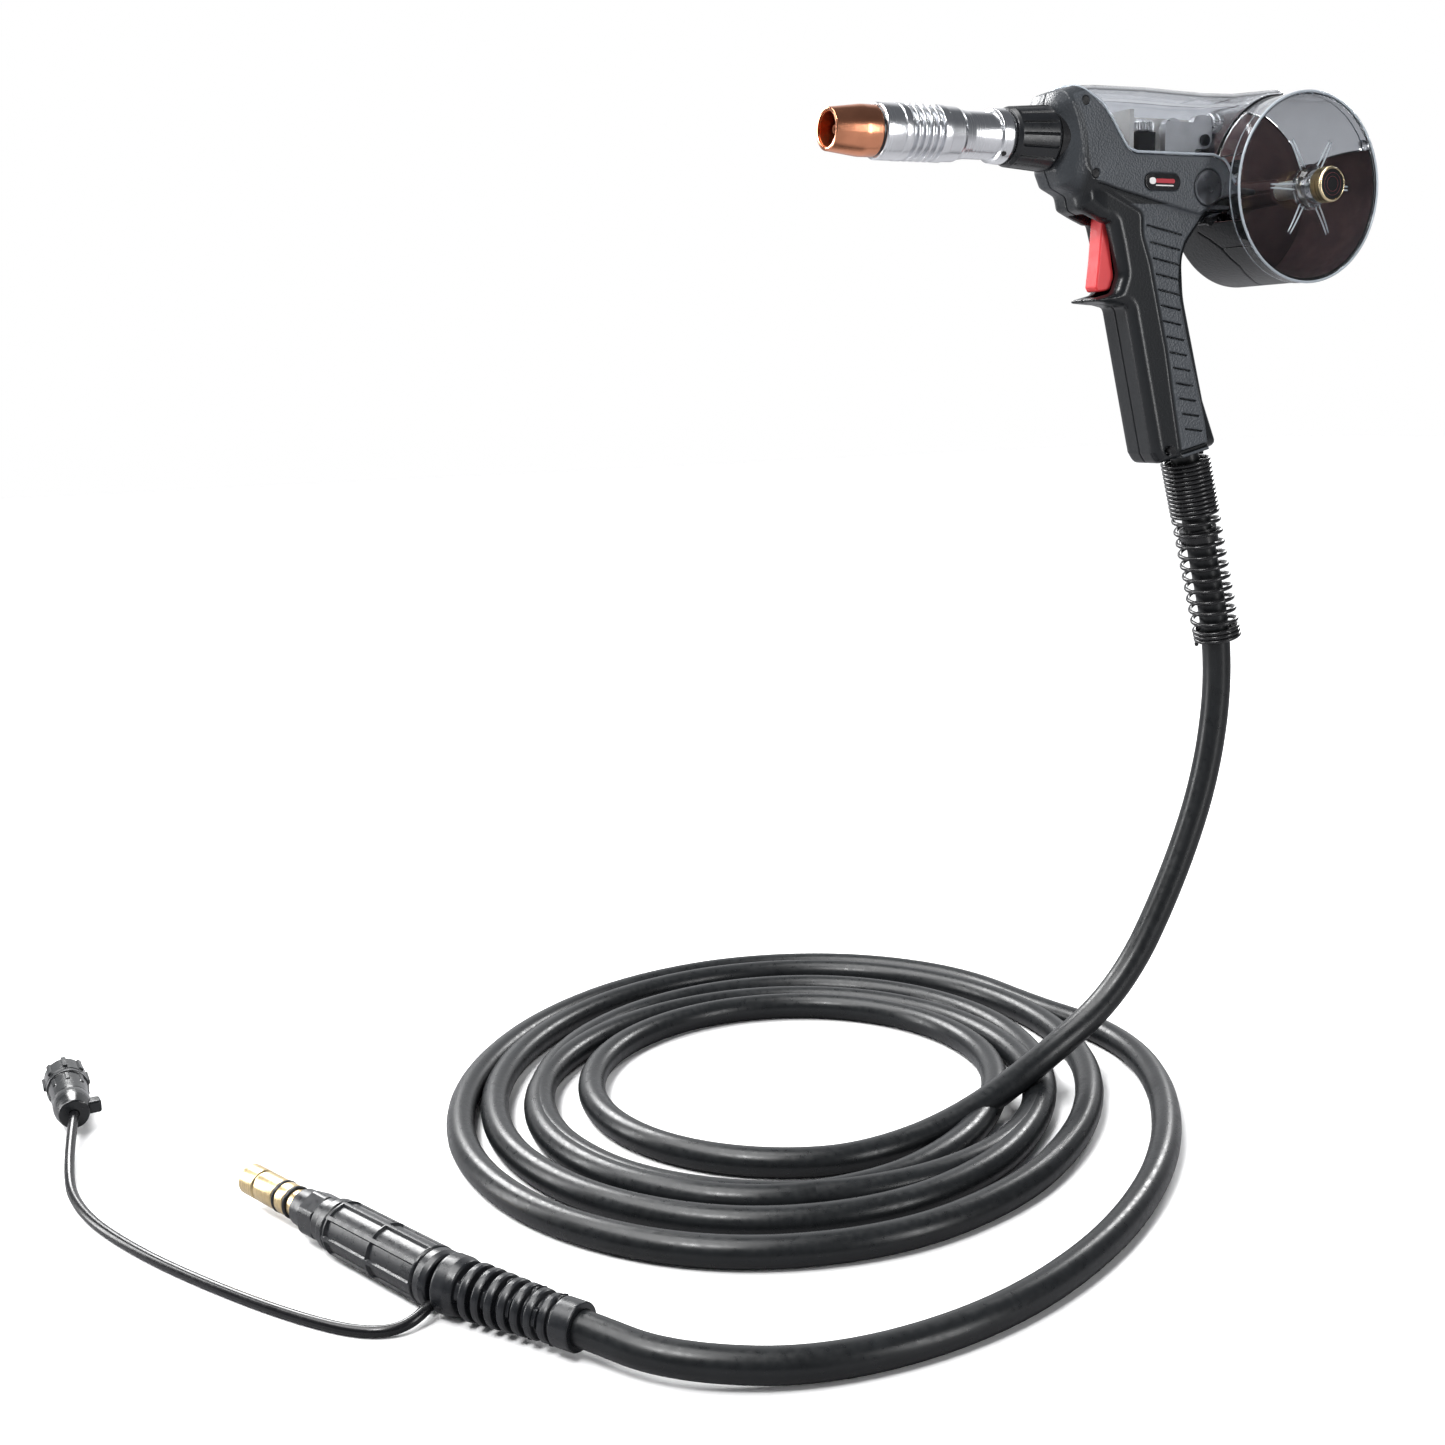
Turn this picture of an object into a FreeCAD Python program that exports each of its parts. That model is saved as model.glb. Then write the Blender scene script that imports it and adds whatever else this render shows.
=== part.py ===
"""Spool gun: a hand-held MIG welding torch that carries its own spool of wire.

The frame's origin is the centre of the grip, where a hand holds the gun.  +X runs from the nozzle
to the spool, +Z is up and -Y is the side with the clear cover.  Lengths are in millimetres.
"""
import FreeCAD
import Part
import math
import os
import re

from FreeCAD import Placement, Rotation, Vector

DRIVING_SIZES = (
    ("axis_height", 135.0, "barrel axis and wire line above the grip's centre"),
    ("nozzle_front", -230.7, "front rim of the gas nozzle"),
    ("nozzle_shoulder", -212.0, "end of the nozzle's cone"),
    ("nozzle_rear", -201.7, "rear face of the gas nozzle"),
    ("nozzle_mouth_radius", 11.5, "outer radius at the rim"),
    ("nozzle_radius", 13.9, "outer radius of the nozzle's cylinder"),
    ("nozzle_bore", 9.6, "bore radius of the nozzle"),
    ("sleeve_front", -199.4, "front face of the finned sleeve"),
    ("sleeve_radius", 15.4, "outer radius of the finned sleeve"),
    ("sleeve_end", -139.6, "rear end of the thick part of the sleeve"),
    ("tube_radius", 13.0, "outer radius of the barrel tube"),
    ("tube_bore", 9.0, "bore radius of the barrel tube"),
    ("fin_pitch", 4.8, "pitch of the cooling grooves"),
    ("barrel_nut_front", -113.8, "front face of the barrel nut"),
    ("barrel_nut_length", 28.3, "length of the barrel nut"),
    ("barrel_nut_front_radius", 16.2, "front radius of the barrel nut"),
    ("barrel_nut_radius", 18.7, "rear radius of the barrel nut"),
    ("body_half_width", 20.0, "half width of the body shells"),
    ("grip_half_width", 17.0, "half width of the grip"),
    ("wall", 2.5, "wall of the shells"),
    ("spool_axis_x", 80.0, "spool axis, lengthwise"),
    ("spool_axis_z", 107.3, "spool axis, height"),
    ("drum_radius", 55.0, "outer radius of the black drum"),
    ("drum_back", 21.0, "outer face of the drum's back wall"),
    ("cover_radius", 56.0, "outer radius of the clear cover's disc"),
    ("cover_face", 41.5, "clear disc's outer face, towards -Y"),
    ("cover_wall", 2.2, "wall of the clear cover"),
    ("cover_inside", 18.3, "edge of the clear cover beside the back wall"),
    ("spindle_radius", 5.0, "radius of the spool's axle"),
    ("hub_front", 36.0, "front end of the spool's hub, towards -Y"),
    ("hub_radius", 8.0, "radius of the hub that a spool fits on"),
    ("roll_x", 7.0, "feed rolls, lengthwise"),
    ("drive_roll_radius", 9.5, "radius of the driven roll"),
    ("idle_roll_radius", 7.0, "radius of the idle roll"),
    ("roll_half_width", 3.0, "half width of the feed rolls"),
    ("wire_radius", 0.45, "radius of the welding wire"),
    ("arm_pin_x", 22.0, "pressure arm's pivot, lengthwise"),
    ("arm_pin_z", 136.0, "pressure arm's pivot, height"),
    ("trigger_pin_x", -43.0, "trigger's pivot, lengthwise"),
    ("trigger_pin_z", 91.0, "trigger's pivot, height"),
    ("dial_x", 20.5, "speed dial's axis, lengthwise"),
    ("dial_z", 108.0, "speed dial's axis, height"),
    ("dial_radius", 10.3, "radius of the speed dial"),
    ("cable_radius", 8.9, "radius of the power cable"),
    ("lead_radius", 3.0, "radius of the control lead"),
    ("floor_depth", 454.3, "floor below the grip's centre"),
    ("coil_x", -210.0, "centre of the cable's coil"),
    ("coil_y", 100.0, "centre of the cable's coil"),
    ("coil_outer_radius", 250.0, "outer radius of the coil"),
    ("coil_inner_radius", 123.0, "radius of the coil's eye"),
    ("coil_height", 36.0, "height of the coil"),
    ("plug_height", 15.5, "connector's axis above the floor"),
)

X_AXIS = Vector(1, 0, 0)
Y_AXIS = Vector(0, 1, 0)
Z_AXIS = Vector(0, 0, 1)

doc = FreeCAD.newDocument("spool_gun")
sizes = doc.addObject("Spreadsheet::Sheet", "Sizes")
for row, (alias, value, meaning) in enumerate(DRIVING_SIZES, start=1):
    sizes.set(f"A{row}", meaning)
    sizes.set(f"B{row}", str(value))
    sizes.setAlias(f"B{row}", alias)
doc.recompute()
SIZE = {alias: value for alias, value, meaning in DRIVING_SIZES}
nodes = []


# ---------------------------------------------------------------- building blocks
def linked(text):
    """An expression with each driving dimension's name turned into its cell."""
    return re.sub(r"[a-z][a-z_]+", lambda word: "Sizes." + word.group(0), str(text))


def bind(item, **values):
    for name, text in values.items():
        item.setExpression(name, linked(text))


def put(item, at, rotation=None):
    """Place an item at three expressions."""
    item.Placement = Placement(Vector(0, 0, 0), rotation or Rotation())
    for axis, text in zip("xyz", at):
        item.setExpression("Placement.Base." + axis, linked(text))
    return item


def rod(radius, length, at, along=X_AXIS):
    item = doc.addObject("Part::Cylinder", "rod")
    bind(item, Radius=radius, Height=length)
    return put(item, at, Rotation(Z_AXIS, along))


def taper(start_radius, end_radius, length, at, along=X_AXIS):
    item = doc.addObject("Part::Cone", "taper")
    bind(item, Radius1=start_radius, Radius2=end_radius, Height=length)
    return put(item, at, Rotation(Z_AXIS, along))


def block(length, width, height, at):
    item = doc.addObject("Part::Box", "block")
    bind(item, Length=length, Width=width, Height=height)
    return put(item, at)


def torus(ring_radius, wire_radius, at, along=X_AXIS):
    item = doc.addObject("Part::Torus", "ring")
    bind(item, Radius1=ring_radius, Radius2=wire_radius)
    return put(item, at, Rotation(Z_AXIS, along))


def fuse(*items):
    item = doc.addObject("Part::MultiFuse", "joined")
    item.Shapes = list(items)
    return item


def cut(base, *tools):
    for tool in tools:
        item = doc.addObject("Part::Cut", "trimmed")
        item.Base = base
        item.Tool = tool
        base = item
    return item


def common(first, second):
    item = doc.addObject("Part::Common", "shared")
    item.Base = first
    item.Tool = second
    return item


def group(*items):
    item = doc.addObject("Part::Compound", "group")
    item.Links = list(items)
    return item


def node(name, item):
    """Name a finished sub-part."""
    item.Label = name
    nodes.append(item)
    return item


def stepped(at, along, *steps):
    """A turned piece: each step is (length, start radius, end radius) along one axis."""
    pieces = []
    offset = "0"
    for length, start_radius, end_radius in steps:
        place = [f"{text} + {part} * ({offset})" for text, part in zip(at, along)]
        if start_radius == end_radius:
            pieces.append(rod(start_radius, length, place, along))
        else:
            pieces.append(taper(start_radius, end_radius, length, place, along))
        offset = f"{offset} + {length}"
    return pieces[0] if len(pieces) == 1 else fuse(*pieces)


def tube(outer, inner, length, at, along=X_AXIS):
    return cut(rod(outer, length, at, along), rod(inner, length, at, along))


def outline_wire(corners):
    """A closed wire in the XZ plane through (x, z, corner radius) points."""
    count = len(corners)
    starts, ends, middles = [], [], []
    for index, (x, z, radius) in enumerate(corners):
        here = Vector(x, 0, z)
        before = Vector(corners[index - 1][0], 0, corners[index - 1][1]) - here
        after = Vector(corners[(index + 1) % count][0], 0, corners[(index + 1) % count][1]) - here
        before.normalize()
        after.normalize()
        half_angle = before.getAngle(after) / 2
        if radius <= 0 or abs(half_angle - math.pi / 2) < 1e-3:
            starts.append(here)
            ends.append(here)
            middles.append(None)
            continue
        reach = radius / math.tan(half_angle)
        bisector = (before + after).normalize()
        centre = here + bisector * (radius / math.sin(half_angle))
        starts.append(here + before * reach)
        ends.append(here + after * reach)
        middles.append(centre - bisector * radius)
    edges = []
    for index in range(count):
        if middles[index] is not None:
            edges.append(Part.Arc(starts[index], middles[index], ends[index]).toShape())
        gap = starts[(index + 1) % count] - ends[index]
        if gap.Length > 1e-6:
            edges.append(Part.LineSegment(ends[index], starts[(index + 1) % count]).toShape())
    return Part.Wire(edges)


def slab(corners, start_y, depth):
    """An outline in the XZ plane, extruded along +Y from start_y; its depth is bound to the sheet."""
    outline = doc.addObject("Part::Feature", "outline")
    outline.Shape = outline_wire(corners)
    put(outline, ("0", start_y, "0"))
    item = doc.addObject("Part::Extrusion", "slab")
    item.Base = outline
    item.DirMode = "Custom"
    item.Dir = Y_AXIS
    item.Solid = True
    bind(item, LengthFwd=depth)
    return item


def swept_cord(points, radius):
    """A round cord along straight runs joined by tangent arcs."""
    route = [Vector(*point) for point in points]
    edges = []
    start = route[0]
    radii = []
    for before, here, after in zip(route, route[1:], route[2:]):
        back = (before - here)
        ahead = (after - here)
        shorter = min(back.Length, ahead.Length)
        back.normalize()
        ahead.normalize()
        half_turn = (math.pi - back.getAngle(ahead)) / 2
        reach = 0.45 * shorter
        radii.append(reach / math.tan(half_turn))
        arc_start = here + back * reach
        arc_end = here + ahead * reach
        bisector = (back + ahead).normalize()
        centre = here + bisector * (radii[-1] / math.cos(half_turn))
        edges.append(Part.LineSegment(start, arc_start).toShape())
        edges.append(Part.Arc(arc_start, centre - bisector * radii[-1], arc_end).toShape())
        start = arc_end
    edges.append(Part.LineSegment(start, route[-1]).toShape())
    path = Part.Wire(edges)
    ring = Part.Wire([Part.makeCircle(radius, route[0], route[1] - route[0])])
    solid = path.makePipeShell([ring], True, False)
    expected = math.pi * radius ** 2 * path.Length
    print(f"cord {path.Length:.0f} mm, volume {solid.Volume / expected:.4f} of section x length, "
          f"smallest radius {min(radii):.0f} mm")
    item = doc.addObject("Part::Feature", "cord")
    item.Shape = solid
    return item


# ---------------------------------------------------------------- outlines (x, z, corner radius)
SHELL_OUTLINE = (
    (-85, 116, 3), (-85, 154, 6), (-80.4, 163.4, 3), (-74, 165.2, 0.5), (-66.9, 157.3, 6),
    (-58.2, 151.7, 8), (-51.1, 143.3, 0), (-45.6, 135.5, 0), (-40.2, 128.4, 5), (-34, 126.3, 3),
    (23.6, 126.3, 6), (33.5, 123.5, 6), (37.5, 117, 3), (42, 110.6, 1), (60, 108, 1), (60, 97.6, 1),
    (46.8, 97.6, 10), (22, 92, 14), (7.5, 71, 24), (9.6, 45, 60), (26.7, -16.8, 0), (38.5, -44.5, 4),
    (-7.3, -54.8, 5), (-12.2, -48, 0), (-33.4, 39.3, 4), (-42, 41.2, 6), (-57.2, 42.3, 0.6),
    (-57.2, 44.2, 0.6), (-36, 47, 9), (-27.5, 58, 10), (-36.5, 87.6, 2), (-50, 87.6, 3),
    (-60, 91.4, 3), (-68.6, 95, 4), (-70.5, 102.8, 3), (-81, 107.5, 4),
)
UPPER_CAVITY = (
    (-66, 108, 2), (-66, 172, 1), (64, 172, 1), (64, 100.5, 1), (46, 100.2, 8), (18, 92, 8),
    (6, 91, 2), (-33, 91, 2), (-56, 91.4, 2), (-64, 98, 2),
)
GRIP_CAVITY = (
    (-32, 92, 1), (14, 92, 3), (4.5, 71, 20), (6.6, 45, 50), (24, -16.8, 0), (34.6, -42.6, 2),
    (-5, -51.4, 3), (-9.6, -47.4, 0), (-30.5, 38, 3), (-24.5, 58, 6),
)
BAY_OUTLINE = (
    (-74, 165.2, 1), (-60, 166.6, 20), (-24, 165.8, 0), (21.5, 163.8, 60), (45, 164, 30),
    (64, 166, 0), (64, 110.9, 0), (42.3, 110.9, 0), (38, 117.3, 3), (33.8, 123.8, 6), (23.8, 126.6, 6),
    (-33.7, 126.6, 3), (-39.8, 128.8, 5), (-45.2, 135.9, 0), (-50.7, 143.7, 0), (-57.9, 152.2, 8),
    (-66.5, 157.8, 6),
)
BAY_INSIDE = (
    (-70.5, 162.9, 1), (-60, 164.4, 18), (-24, 163.6, 0), (21.5, 161.6, 58), (45, 161.8, 30),
    (66, 163.9, 0), (66, 100, 0), (-39, 100, 0),
)
BELOW_PARTING = (
    (-20, 126.6, 0), (23.8, 126.6, 6), (33.8, 123.8, 6), (38, 117.3, 3), (42.3, 111, 1),
    (130.5, 131.8, 0), (160, 139, 0), (160, 30, 0), (-20, 30, 0),
)
ARM_OUTLINE = (
    (-7, 123.5, 2), (12.5, 123.5, 1), (16, 131, 3), (28.4, 131, 6), (28.4, 150.5, 6), (15.8, 150.5, 5),
    (14, 146, 1), (-7, 146, 2),
)

# ---------------------------------------------------------------- shells
CABLE_EXIT = Vector(0.251, 0, -0.968).normalize()
SPOOL_AXIS = ("spool_axis_x", "0", "spool_axis_z")
SCREW_PLACES = ((-70.5, 154.1), (-62.8, 114.2), (23.4, 88.6), (-2.0, -46.5))


def drum_core(radius, start_y, depth):
    return rod(radius, depth, ("spool_axis_x", start_y, "spool_axis_z"), Y_AXIS)


def shell_half(side):
    """One moulded half of the body and grip: side -1 is the cover's side, +1 the other."""
    start = "-body_half_width" if side < 0 else "0"
    outside = slab(SHELL_OUTLINE, start, "body_half_width")
    upper = slab(UPPER_CAVITY, "-body_half_width + wall" if side < 0 else "-0.1",
                 "body_half_width - wall + 0.1")
    grip = slab(GRIP_CAVITY, "-grip_half_width + wall" if side < 0 else "-0.1",
                "grip_half_width - wall + 0.1")
    grip_side = block("130", "body_half_width - grip_half_width + 1", "150",
                      ("-62", "-body_half_width - 1" if side < 0 else "grip_half_width", "-64"))
    slot = block("30", "13", "43", ("-56", "-6.5", "45.5"))
    top_slot = block("16", "12.8", "9", ("-53", "-6.4", "87"))
    nose_bore = rod("16.9", "40", ("-90", "0", "axis_height"), X_AXIS)
    cable_bore = rod("cable_radius + 0.4", "40", ("14.5", "0", "-16"), CABLE_EXIT)
    drum = drum_core("drum_radius + 0.3", "-45", "70")
    pin_bore = rod("1.5", "24", ("trigger_pin_x", "-12", "trigger_pin_z"), Y_AXIS)
    spring_bore = rod("3.6", "17.8", ("trigger_pin_x", "-8.9", "trigger_pin_z"), Y_AXIS)
    tools = [upper, grip, grip_side, slot, top_slot, nose_bore, cable_bore, drum, pin_bore,
             spring_bore]
    for x, z in SCREW_PLACES:
        tools.append(rod("2.6", "4", (x, "-body_half_width - 0.5", z), Y_AXIS))
        tools.append(rod("1.6", "80", (x, "-40", z), Y_AXIS))
    if side < 0:
        tools.append(rod("dial_radius + 0.4", "6", ("dial_x", "-body_half_width - 1", "dial_z"), Y_AXIS))
    return cut(outside, *tools)


node("left_shell", shell_half(-1))
low_wall = common(slab(SHELL_OUTLINE, "drum_back - wall", "wall"),
                  block("130", "10", "90", ("-86", "drum_back - 5", "92")))
low_wall = cut(low_wall, drum_core("drum_radius + 0.3", "0", "40"))
node("right_shell", fuse(shell_half(1), low_wall))
node("back_window", cut(slab(BAY_OUTLINE, "drum_back - wall", "wall"),
                        drum_core("cover_radius + 0.3", "0", "40")))

BELOW_DRUM_EDGE = tuple((x, z - 0.3, corner) for x, z, corner in BELOW_PARTING)
drum_wall = common(
    cut(drum_core("drum_radius", "-39", "drum_back + 39"),
        drum_core("drum_radius - wall", "-40", "drum_back + 40 - wall")),
    slab(BELOW_DRUM_EDGE, "-45", "80"))
drum_plate = fuse(
    common(drum_core("drum_radius", "drum_back - wall", "wall"), slab(BELOW_DRUM_EDGE, "-45", "80")),
    drum_core("cover_radius - cover_wall - 0.5", "drum_back - wall", "wall"))
dial_pocket = rod("dial_radius + 0.8", "14", ("dial_x", "-22", "dial_z"), Y_AXIS)
node("drum_shell", cut(fuse(drum_wall, drum_plate), dial_pocket))

node("name_badge", fuse(
    block("16.4", "0.8", "9.6", ("-22.2", "-body_half_width - 0.8", "105.9")),
    rod("4.8", "0.8", ("-22.2", "-body_half_width - 0.8", "110.7"), Y_AXIS),
    rod("4.8", "0.8", ("-5.8", "-body_half_width - 0.8", "110.7"), Y_AXIS)))

screws = [fuse(rod("2.4", "2", (x, "-body_half_width + 1", z), Y_AXIS),
               rod("1.5", "31", (x, "-body_half_width + 2.9", z), Y_AXIS)) for x, z in SCREW_PLACES]
screws.append(rod("1.5", "4", ("-121.4", "-8.2", "axis_height - 8.2"), Vector(0, -0.7, -0.7)))
node("screws", group(*screws))

# ---------------------------------------------------------------- clear cover and its nut
bay = cut(slab(BAY_OUTLINE, "-body_half_width", "cover_inside + body_half_width"),
          slab(BAY_INSIDE, "-body_half_width + cover_wall", "60"),
          drum_core("cover_radius - cover_wall", "-42", "80"))
drum_top = cut(
    cut(drum_core("cover_radius", "-cover_face", "drum_back + cover_face"),
        drum_core("cover_radius - cover_wall - 0.2", "-cover_face + cover_wall", "80")),
    slab(BELOW_PARTING, "-39", "80"),
    block("26", "41", "80", ("20", "-body_half_width + cover_wall", "100")))
boss = stepped(("spool_axis_x", "-cover_face + 0.1", "spool_axis_z"), Y_AXIS.negative(),
               ("3", "13", "12"), ("5.5", "9.5", "8.5"))
ribs = []
for turn in range(6):
    angle = math.radians(60 * turn)
    middle = 20.0
    rib = doc.addObject("Part::Box", "rib")
    bind(rib, Length="22", Width="2.2", Height="1.4")
    direction = Vector(math.cos(angle), 0, math.sin(angle))
    corner = direction * (middle - 11) + direction.cross(Y_AXIS) * 0.7
    rib.Placement = Placement(Vector(SIZE["spool_axis_x"] + corner.x, -SIZE["cover_face"] - 2.1,
                                     SIZE["spool_axis_z"] + corner.z),
                              Rotation(direction, Y_AXIS, direction.cross(Y_AXIS), "XYZ"))
    ribs.append(rib)
node("clear_cover", cut(fuse(bay, drum_top, boss, *ribs),
                        rod("4.3", "40", ("spool_axis_x", "-60", "spool_axis_z"), Y_AXIS)))

node("cover_nut", cut(
    stepped(("spool_axis_x", "-50.5", "spool_axis_z"), Y_AXIS.negative(),
            ("1.5", "9.4", "10.2"), ("7", "10.2", "10.2"), ("1", "10.2", "9.4")),
    rod("4.08", "9", ("spool_axis_x", "-59", "spool_axis_z"), Y_AXIS),
    rod("8", "2", ("spool_axis_x", "-60.5", "spool_axis_z"), Y_AXIS)))
node("nut_label", rod("7.9", "0.9", ("spool_axis_x", "-59.4", "spool_axis_z"), Y_AXIS))

# ---------------------------------------------------------------- spool axle and hub
node("spool_spindle", stepped(("spool_axis_x", "drum_back - wall", "spool_axis_z"),
                              Y_AXIS.negative(),
                              ("4.3", "15", "15"), ("hub_front + 16.2", "spindle_radius",
                                                    "spindle_radius"),
                              ("18", "4", "4")))
node("brake_spring", tube("9.6", "7.4", "2.6", ("spool_axis_x", "9.9", "spool_axis_z"), Y_AXIS))
node("brake_washer", tube("14", "spindle_radius + 0.1", "1.2",
                          ("spool_axis_x", "8.5", "spool_axis_z"), Y_AXIS))
node("spool_hub", cut(fuse(
    rod("15", "2.2", ("spool_axis_x", "6", "spool_axis_z"), Y_AXIS),
    rod("hub_radius", "hub_front + 7", ("spool_axis_x", "-hub_front", "spool_axis_z"), Y_AXIS)),
    rod("spindle_radius + 0.05", "60", ("spool_axis_x", "-40", "spool_axis_z"), Y_AXIS)))

# ---------------------------------------------------------------- wire feeder
node("feed_frame", cut(
    fuse(block("62", "4", "28.6", ("-31", "4.5", "121.4")),
         block("9", "8.8", "4.5", ("18", "-4.3", "141.5")),
         block("9", "2.5", "15", ("18", "-4.5", "131"))),
    rod("4.6", "10", ("roll_x", "2", "axis_height - drive_roll_radius - 0.6"), Y_AXIS),
    rod("2", "8", ("arm_pin_x", "-6", "arm_pin_z"), Y_AXIS),
    drum_core("drum_radius + 0.3", "0", "10")))
node("front_plate", cut(block("3", "24", "30", ("-34.5", "-13", "121.6")),
                        rod("2.3", "8", ("-36", "0", "axis_height"), X_AXIS)))
node("guide_block", cut(block("12.5", "12", "13.5", ("-24.5", "-9", "126.5")),
                        rod("2.3", "20", ("-28", "0", "axis_height"), X_AXIS)))
node("guide_nut", stepped(("-18.2", "-3.5", "140.2"), Z_AXIS,
                          ("0.8", "6.2", "7"), ("4.4", "7", "7"), ("0.8", "7", "6.2"),
                          ("1.6", "3.2", "3.2")))
node("outlet_guide", tube("2.2", "0.7", "30", ("-38", "0", "axis_height"), X_AXIS))
node("inlet_guide", cut(stepped(("17.5", "0", "axis_height"), X_AXIS,
                                ("3", "1.2", "1.8"), ("9", "1.8", "1.8"), ("1.5", "2.8", "2.8")),
                        rod("0.7", "20", ("15", "0", "axis_height"), X_AXIS)))
groove = torus("drive_roll_radius + 0.35", "0.7",
               ("roll_x", "0", "axis_height - drive_roll_radius - 0.6"), Y_AXIS)
node("drive_roll", cut(
    rod("drive_roll_radius", "2 * roll_half_width",
        ("roll_x", "-roll_half_width", "axis_height - drive_roll_radius - 0.6"), Y_AXIS), groove,
    rod("2.5", "12", ("roll_x", "-6", "axis_height - drive_roll_radius - 0.6"), Y_AXIS)))
node("output_shaft", fuse(
    rod("2.5", "11", ("roll_x", "-roll_half_width", "axis_height - drive_roll_radius - 0.6"), Y_AXIS),
    rod("4", "1.6", ("roll_x", "-roll_half_width - 1.6",
                     "axis_height - drive_roll_radius - 0.6"), Y_AXIS)))
node("idle_roll", tube("idle_roll_radius", "2.05", "2 * roll_half_width - 1",
                       ("roll_x", "-roll_half_width + 0.5", "axis_height + idle_roll_radius + 0.6"),
                       Y_AXIS))
node("idle_axle", fuse(
    rod("2", "12.5", ("roll_x", "-9.5", "axis_height + idle_roll_radius + 0.6"), Y_AXIS),
    rod("3.4", "0.8", ("roll_x", "2.9", "axis_height + idle_roll_radius + 0.6"), Y_AXIS)))
node("pressure_arm", cut(
    slab(ARM_OUTLINE, "-12", "4.5"),
    rod("2.05", "10", ("arm_pin_x", "-15", "arm_pin_z"), Y_AXIS),
    rod("2", "10", ("roll_x", "-9.5", "axis_height + idle_roll_radius + 0.6"), Y_AXIS)))
node("arm_pin", fuse(
    rod("2", "10.6", ("arm_pin_x", "-12.6", "arm_pin_z"), Y_AXIS),
    rod("3.4", "1.4", ("arm_pin_x", "-14", "arm_pin_z"), Y_AXIS)))
node("arm_spring", tube("4.4", "2.6", "2.4", ("arm_pin_x", "-7.2", "arm_pin_z"), Y_AXIS))
node("tension_post", fuse(block("4", "4", "9", ("31.5", "4.6", "143.6")),
                          rod("1.8", "16", ("29.5", "0.5", "148"), X_AXIS),
                          block("4", "8", "8", ("31.5", "-3", "144"))))
node("tension_nut", cut(stepped(("36", "0.5", "148"), X_AXIS,
                                ("0.8", "5", "5.8"), ("7", "5.8", "5.8"), ("0.8", "5.8", "5")),
                        rod("1.9", "12", ("35", "0.5", "148"), X_AXIS)))
node("gearbox", cut(fuse(
    block("41.7", "8.8", "20.5", ("8.3", "8.6", "127.4")),
    block("15.7", "13.4", "24", ("8.3", "4", "97")),
    block("28", "8.8", "26", ("-4", "8.6", "112"))),
    rod("2.6", "12", ("roll_x", "0", "axis_height - drive_roll_radius - 0.6"), Y_AXIS)))
node("motor", fuse(
    rod("10.6", "43", ("-36", "2.6", "102.8"), X_AXIS),
    rod("4", "2", ("-38", "2.6", "102.8"), X_AXIS),
    rod("6", "1.3", ("7", "2.6", "102.8"), X_AXIS)))
node("speed_dial", stepped(("dial_x", "-body_half_width - 0.3", "dial_z"), Y_AXIS,
                           ("0.5", "dial_radius - 0.5", "dial_radius"),
                           ("2.4", "dial_radius", "dial_radius"), ("1.4", "3", "3")))
node("dial_sensor", fuse(
    rod("8", "6", ("dial_x", "-14.8", "dial_z"), Y_AXIS),
    rod("2.9", "1", ("dial_x", "-15.7", "dial_z"), Y_AXIS)))

# ---------------------------------------------------------------- barrel
grooves = [torus("sleeve_radius + 1.3", "2.1", (f"-172.6 + {turn} * fin_pitch", "0", "axis_height"))
           for turn in range(5)]
node("barrel_sleeve", cut(
    stepped(("sleeve_front", "0", "axis_height"), X_AXIS,
            ("15.4", "sleeve_radius - 0.15", "sleeve_radius - 0.15"),
            ("0.8", "sleeve_radius - 0.7", "sleeve_radius - 0.7"),
            ("33.2", "sleeve_radius", "sleeve_radius"),
            ("10.4", "sleeve_radius - 0.7", "sleeve_radius - 0.7"),
            ("4", "sleeve_radius - 0.7", "tube_radius"),
            ("17", "tube_radius", "tube_radius"), ("4.4", "14.4", "14.4"),
            ("40.6", "tube_radius", "tube_radius")),
    rod("tube_bore", "140", ("sleeve_front - 1", "0", "axis_height"), X_AXIS),
    rod("12", "9", ("sleeve_front - 1", "0", "axis_height"), X_AXIS),
    rod("1.6", "14", ("-121.4", "-7", "axis_height - 7"), Vector(0, -0.7, -0.7)), *grooves))
node("insulator", cut(
    stepped(("nozzle_rear", "0", "axis_height"), X_AXIS, ("2.3", "13.1", "13.1"), ("6", "11.9", "11.9")),
    rod("9.6", "12", ("nozzle_rear - 1", "0", "axis_height"), X_AXIS)))
node("gas_nozzle", cut(
    stepped(("nozzle_front", "0", "axis_height"), X_AXIS,
            ("nozzle_shoulder - nozzle_front", "nozzle_mouth_radius", "nozzle_radius"),
            ("nozzle_rear - nozzle_shoulder", "nozzle_radius", "nozzle_radius")),
    rod("nozzle_bore", "40", ("nozzle_front - 1", "0", "axis_height"), X_AXIS),
    rod("12.2", "8", ("nozzle_rear - 7", "0", "axis_height"), X_AXIS)))
holes = []
for turn in range(6):
    angle = math.radians(60 * turn)
    holes.append(rod("1.2", "12", ("-204", "0", "axis_height"),
                     Vector(0, math.cos(angle), math.sin(angle))))
node("gas_diffuser", cut(
    stepped(("-210", "0", "axis_height"), X_AXIS, ("2", "6.4", "7.4"), ("16", "7.4", "7.4"),
            ("10", "8.9", "8.9")),
    rod("4", "14", ("-211", "0", "axis_height"), X_AXIS),
    rod("2.1", "40", ("-212", "0", "axis_height"), X_AXIS), *holes))
node("contact_tip", cut(
    stepped(("-225.5", "0", "axis_height"), X_AXIS, ("4", "2.4", "4"), ("24.3", "4", "4")),
    rod("0.6", "40", ("-226", "0", "axis_height"), X_AXIS)))
node("conductor_tube", tube("7", "2.1", "122", ("-182", "0", "axis_height"), X_AXIS))
node("wire_liner", tube("2", "0.75", "146", ("-184.2", "0", "axis_height"), X_AXIS))
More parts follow.
